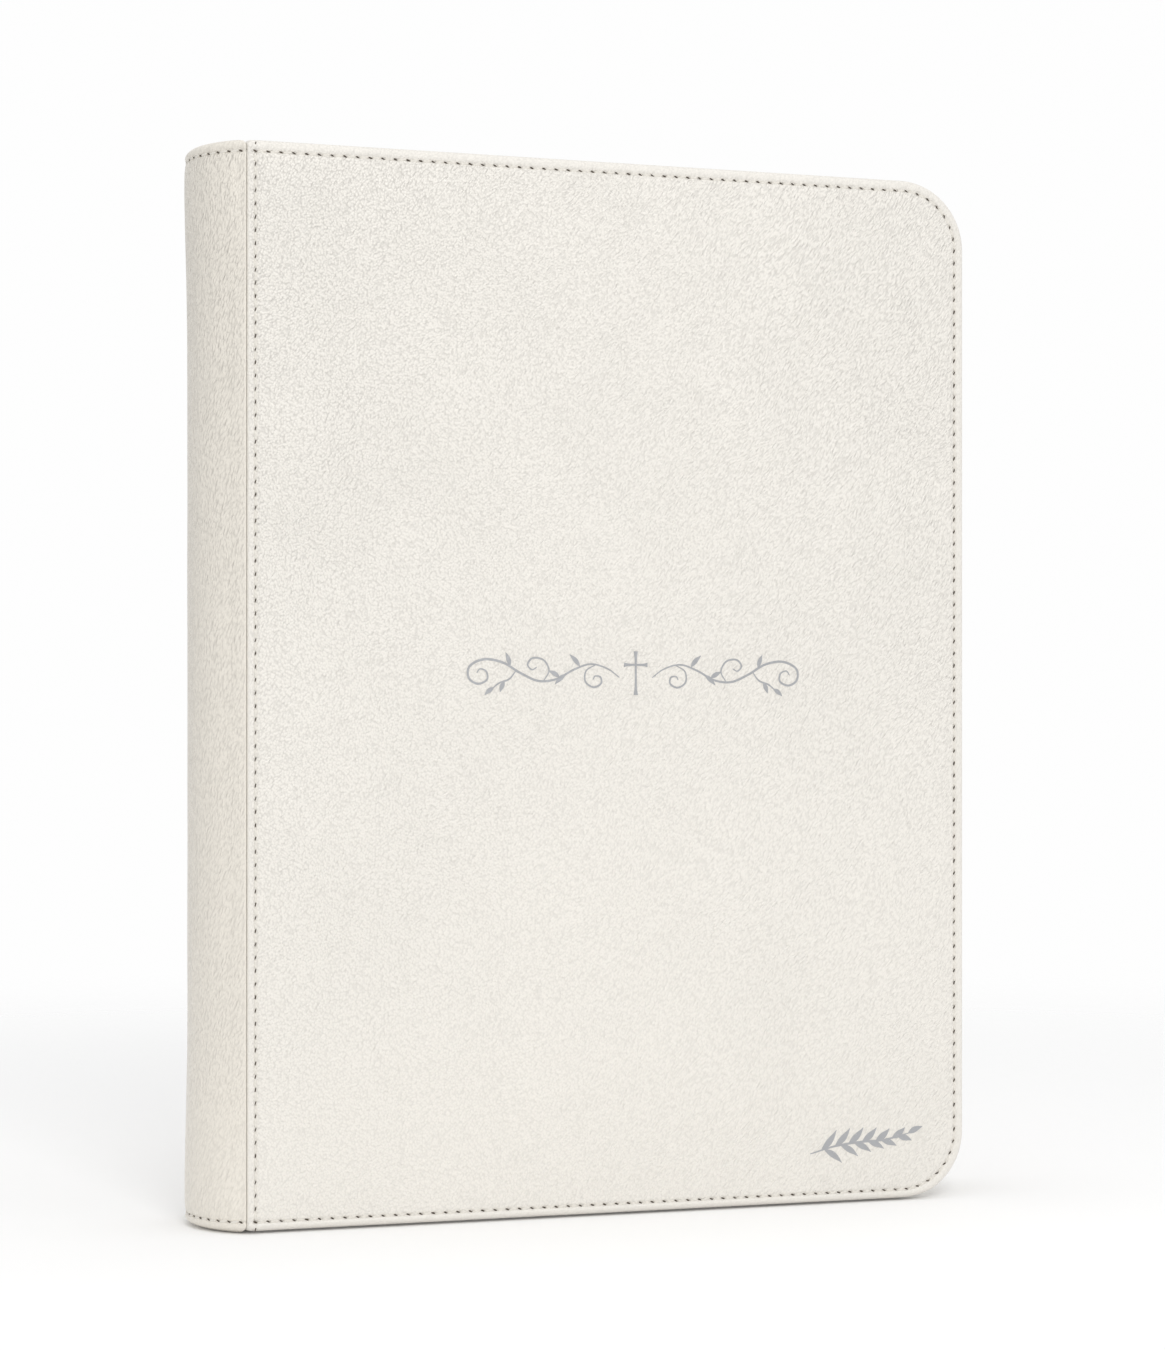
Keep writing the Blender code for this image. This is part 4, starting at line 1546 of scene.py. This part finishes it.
class PRAYERBOOK_OT_foil(bpy.types.Operator):
    """Stamps the foil ornaments on the front cover"""

    bl_idname = "prayerbook.foil"
    bl_label = "Foil ornaments"

    def execute(self, context):
        case = settings_of("prayerbook_case")
        paint = foil_paint("silver_foil", case.foil_colour)
        width = RIGHT - LEFT
        right_half = centre_ornament()
        left_half = [(path * (-1.0, 1.0), widths) for path, widths in right_half]
        ornaments = (
            ("centre_ornament", right_half + left_half + cross(), (LEFT + 0.521 * width, 0.515 * HEIGHT)),
            ("corner_ornament", corner_ornament(27.5), (LEFT + 0.770 * width, 0.060 * HEIGHT)),
        )
        face = HALF + case.pad_rise + 0.045 * MM
        foil = 0.08 * MM
        step = 0.003 * MM               # keeps the faces of crossing lines apart
        for name, lines, (x, z) in ornaments:
            strokes = []
            for index, (path, widths) in enumerate(lines):
                above = index * step
                strokes.append(stroke(path * MM + (x, z), widths * MM, face + above, foil + above))
            place_piece(join_strokes(name, strokes, paint), "front_cover", "ivory_leather")
        return {"FINISHED"}


# ---------------------------------------------------------------- layers that stay as packed


class PRAYERBOOK_OT_layers(bpy.types.Operator):
    """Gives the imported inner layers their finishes"""

    bl_idname = "prayerbook.layers"
    bl_label = "Inner layers"

    def execute(self, context):
        case = settings_of("prayerbook_case")
        leaves = settings_of("prayerbook_leaves")
        foam = foam_paint("case_foam")
        board = board_paint("millboard")
        endpaper = endpaper_paint("endpaper", leaves.endpaper_colour)
        finishes = {
            "front_cover_padding": foam, "back_cover_padding": foam,
            "front_cover_board": board, "back_cover_board": board, "spine_card": board,
            "front_pastedown": endpaper, "back_pastedown": endpaper,
            "block_gauze": gauze_paint("mull"),
            "block_back_paper": paper_paint("back_lining_paper", leaves.paper_colour),
            "spine_lining": lining_paint("spine_lining_leather", case.lining_colour),
        }
        for name, material in finishes.items():
            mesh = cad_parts[name].data
            mesh.materials.clear()
            mesh.materials.append(material)
        return {"FINISHED"}


# ---------------------------------------------------------------- stage


def add_lamp(name, place, size, power):
    """A soft white lamp that faces the middle of the book."""
    lamp = bpy.data.lights.new(name, "AREA")
    lamp.shape = "RECTANGLE"
    lamp.size, lamp.size_y = size
    lamp.energy = power
    obj = bpy.data.objects.new(name, lamp)
    obj.location = place
    ahead = Vector((0.0, 0.0, HEIGHT * 0.5)) - Vector(place)
    obj.rotation_euler = ahead.to_track_quat("-Z", "Y").to_euler()
    bpy.context.scene.collection.objects.link(obj)


class PRAYERBOOK_OT_studio(bpy.types.Operator):
    """Sets the floor, the lamps, the surround and the camera"""

    bl_idname = "prayerbook.studio"
    bl_label = "Studio"

    def execute(self, context):
        studio = settings_of("prayerbook_studio")
        self.make_floor()
        self.make_surround(studio)
        self.make_lamps(studio)
        self.make_camera(studio)
        context.scene.view_settings.view_transform = "Standard"
        return {"FINISHED"}

    def make_floor(self):
        reach = 12.0
        points = [(-reach, -reach, 0.0), (reach, -reach, 0.0), (reach, reach, 0.0), (-reach, reach, 0.0)]
        floor = new_object("studio_floor", points, [(0, 1, 2, 3)], floor_paint())

    def make_surround(self, studio):
        """A white backdrop for the camera, and a soft light, a little dimmer from the spine and the front."""
        world = bpy.data.worlds.new("studio_surround")
        world.use_nodes = True
        tree = world.node_tree
        direction = tree.nodes.new("ShaderNodeTexCoord")
        slope = tree.nodes.new("ShaderNodeVectorMath")
        slope.operation = "DOT_PRODUCT"
        tree.links.new(direction.outputs["Generated"], slope.inputs[0])
        slope.inputs[1].default_value = (studio.fill * studio.lean, studio.fill * studio.behind, 0.0)
        fill = tree.nodes.new("ShaderNodeMath")
        tree.links.new(slope.outputs["Value"], fill.inputs[0])
        fill.inputs[1].default_value = studio.fill * (1 + studio.behind * 2 / 3)
        seen = tree.nodes.new("ShaderNodeLightPath")
        level = tree.nodes.new("ShaderNodeMix")
        tree.links.new(seen.outputs["Is Camera Ray"], level.inputs["Factor"])
        tree.links.new(fill.outputs[0], level.inputs["A"])
        level.inputs["B"].default_value = studio.backdrop
        background = tree.nodes["Background"]
        background.inputs["Color"].default_value = (1.0, 1.0, 1.0, 1.0)
        tree.links.new(level.outputs["Result"], background.inputs["Strength"])
        bpy.context.scene.world = world

    def make_lamps(self, studio):
        add_lamp("key_lamp", KEY_PLACE, KEY_SIZE, studio.key_power)
        add_lamp("top_lamp", TOP_PLACE, TOP_SIZE, studio.top_power)

    def make_camera(self, studio):
        turn = studio.turn
        ahead = Vector((math.sin(turn), math.cos(turn), 0.0))
        right = Vector((math.cos(turn), -math.sin(turn), 0.0))
        seam = Vector((SEAM_X, -HALF, 0.0))
        place = seam - ahead * studio.distance * HEIGHT + right * studio.aside * HEIGHT
        place.z = studio.eye * HEIGHT
        data = bpy.data.cameras.new("camera")
        data.lens = studio.lens
        data.sensor_fit = "AUTO"
        data.sensor_width = 36.0
        data.shift_y = studio.rise
        data.clip_start = 0.01
        data.clip_end = 100.0
        camera = bpy.data.objects.new("camera", data)
        camera.location = place
        camera.rotation_euler = ahead.to_track_quat("-Z", "Y").to_euler()
        bpy.context.scene.collection.objects.link(camera)
        bpy.context.scene.camera = camera


# ---------------------------------------------------------------- panel and registration


STEPS = (
    PRAYERBOOK_OT_covers,
    PRAYERBOOK_OT_spine,
    PRAYERBOOK_OT_stitches,
    PRAYERBOOK_OT_joints,
    PRAYERBOOK_OT_leaves,
    PRAYERBOOK_OT_bands,
    PRAYERBOOK_OT_foil,
    PRAYERBOOK_OT_layers,
    PRAYERBOOK_OT_studio,
)

GROUPS = {
    "prayerbook_case": CaseSettings,
    "prayerbook_stitches": StitchSettings,
    "prayerbook_leaves": LeafSettings,
    "prayerbook_studio": StudioSettings,
}


class PRAYERBOOK_PT_panel(bpy.types.Panel):
    """Lists the steps and their settings"""

    bl_idname = "PRAYERBOOK_PT_panel"
    bl_label = "Prayer book"
    bl_space_type = "VIEW_3D"
    bl_region_type = "UI"
    bl_category = "Prayer book"

    def draw(self, context):
        for name, group in GROUPS.items():
            box = self.layout.box()
            for label in group.__annotations__:
                box.prop(getattr(context.scene, name), label)
        for step in STEPS:
            self.layout.operator(step.bl_idname)


def register():
    for group in GROUPS.values():
        bpy.utils.register_class(group)
    for step in STEPS:
        bpy.utils.register_class(step)
    bpy.utils.register_class(PRAYERBOOK_PT_panel)
    for name, group in GROUPS.items():
        setattr(bpy.types.Scene, name, PointerProperty(type=group))


def unregister():
    for name in GROUPS:
        delattr(bpy.types.Scene, name)
    bpy.utils.unregister_class(PRAYERBOOK_PT_panel)
    for step in reversed(STEPS):
        bpy.utils.unregister_class(step)
    for group in GROUPS.values():
        bpy.utils.unregister_class(group)


def main():
    register()
    for step in STEPS:
        area, action = step.bl_idname.split(".")
        getattr(getattr(bpy.ops, area), action)()


if __name__ == "__main__":
    main()
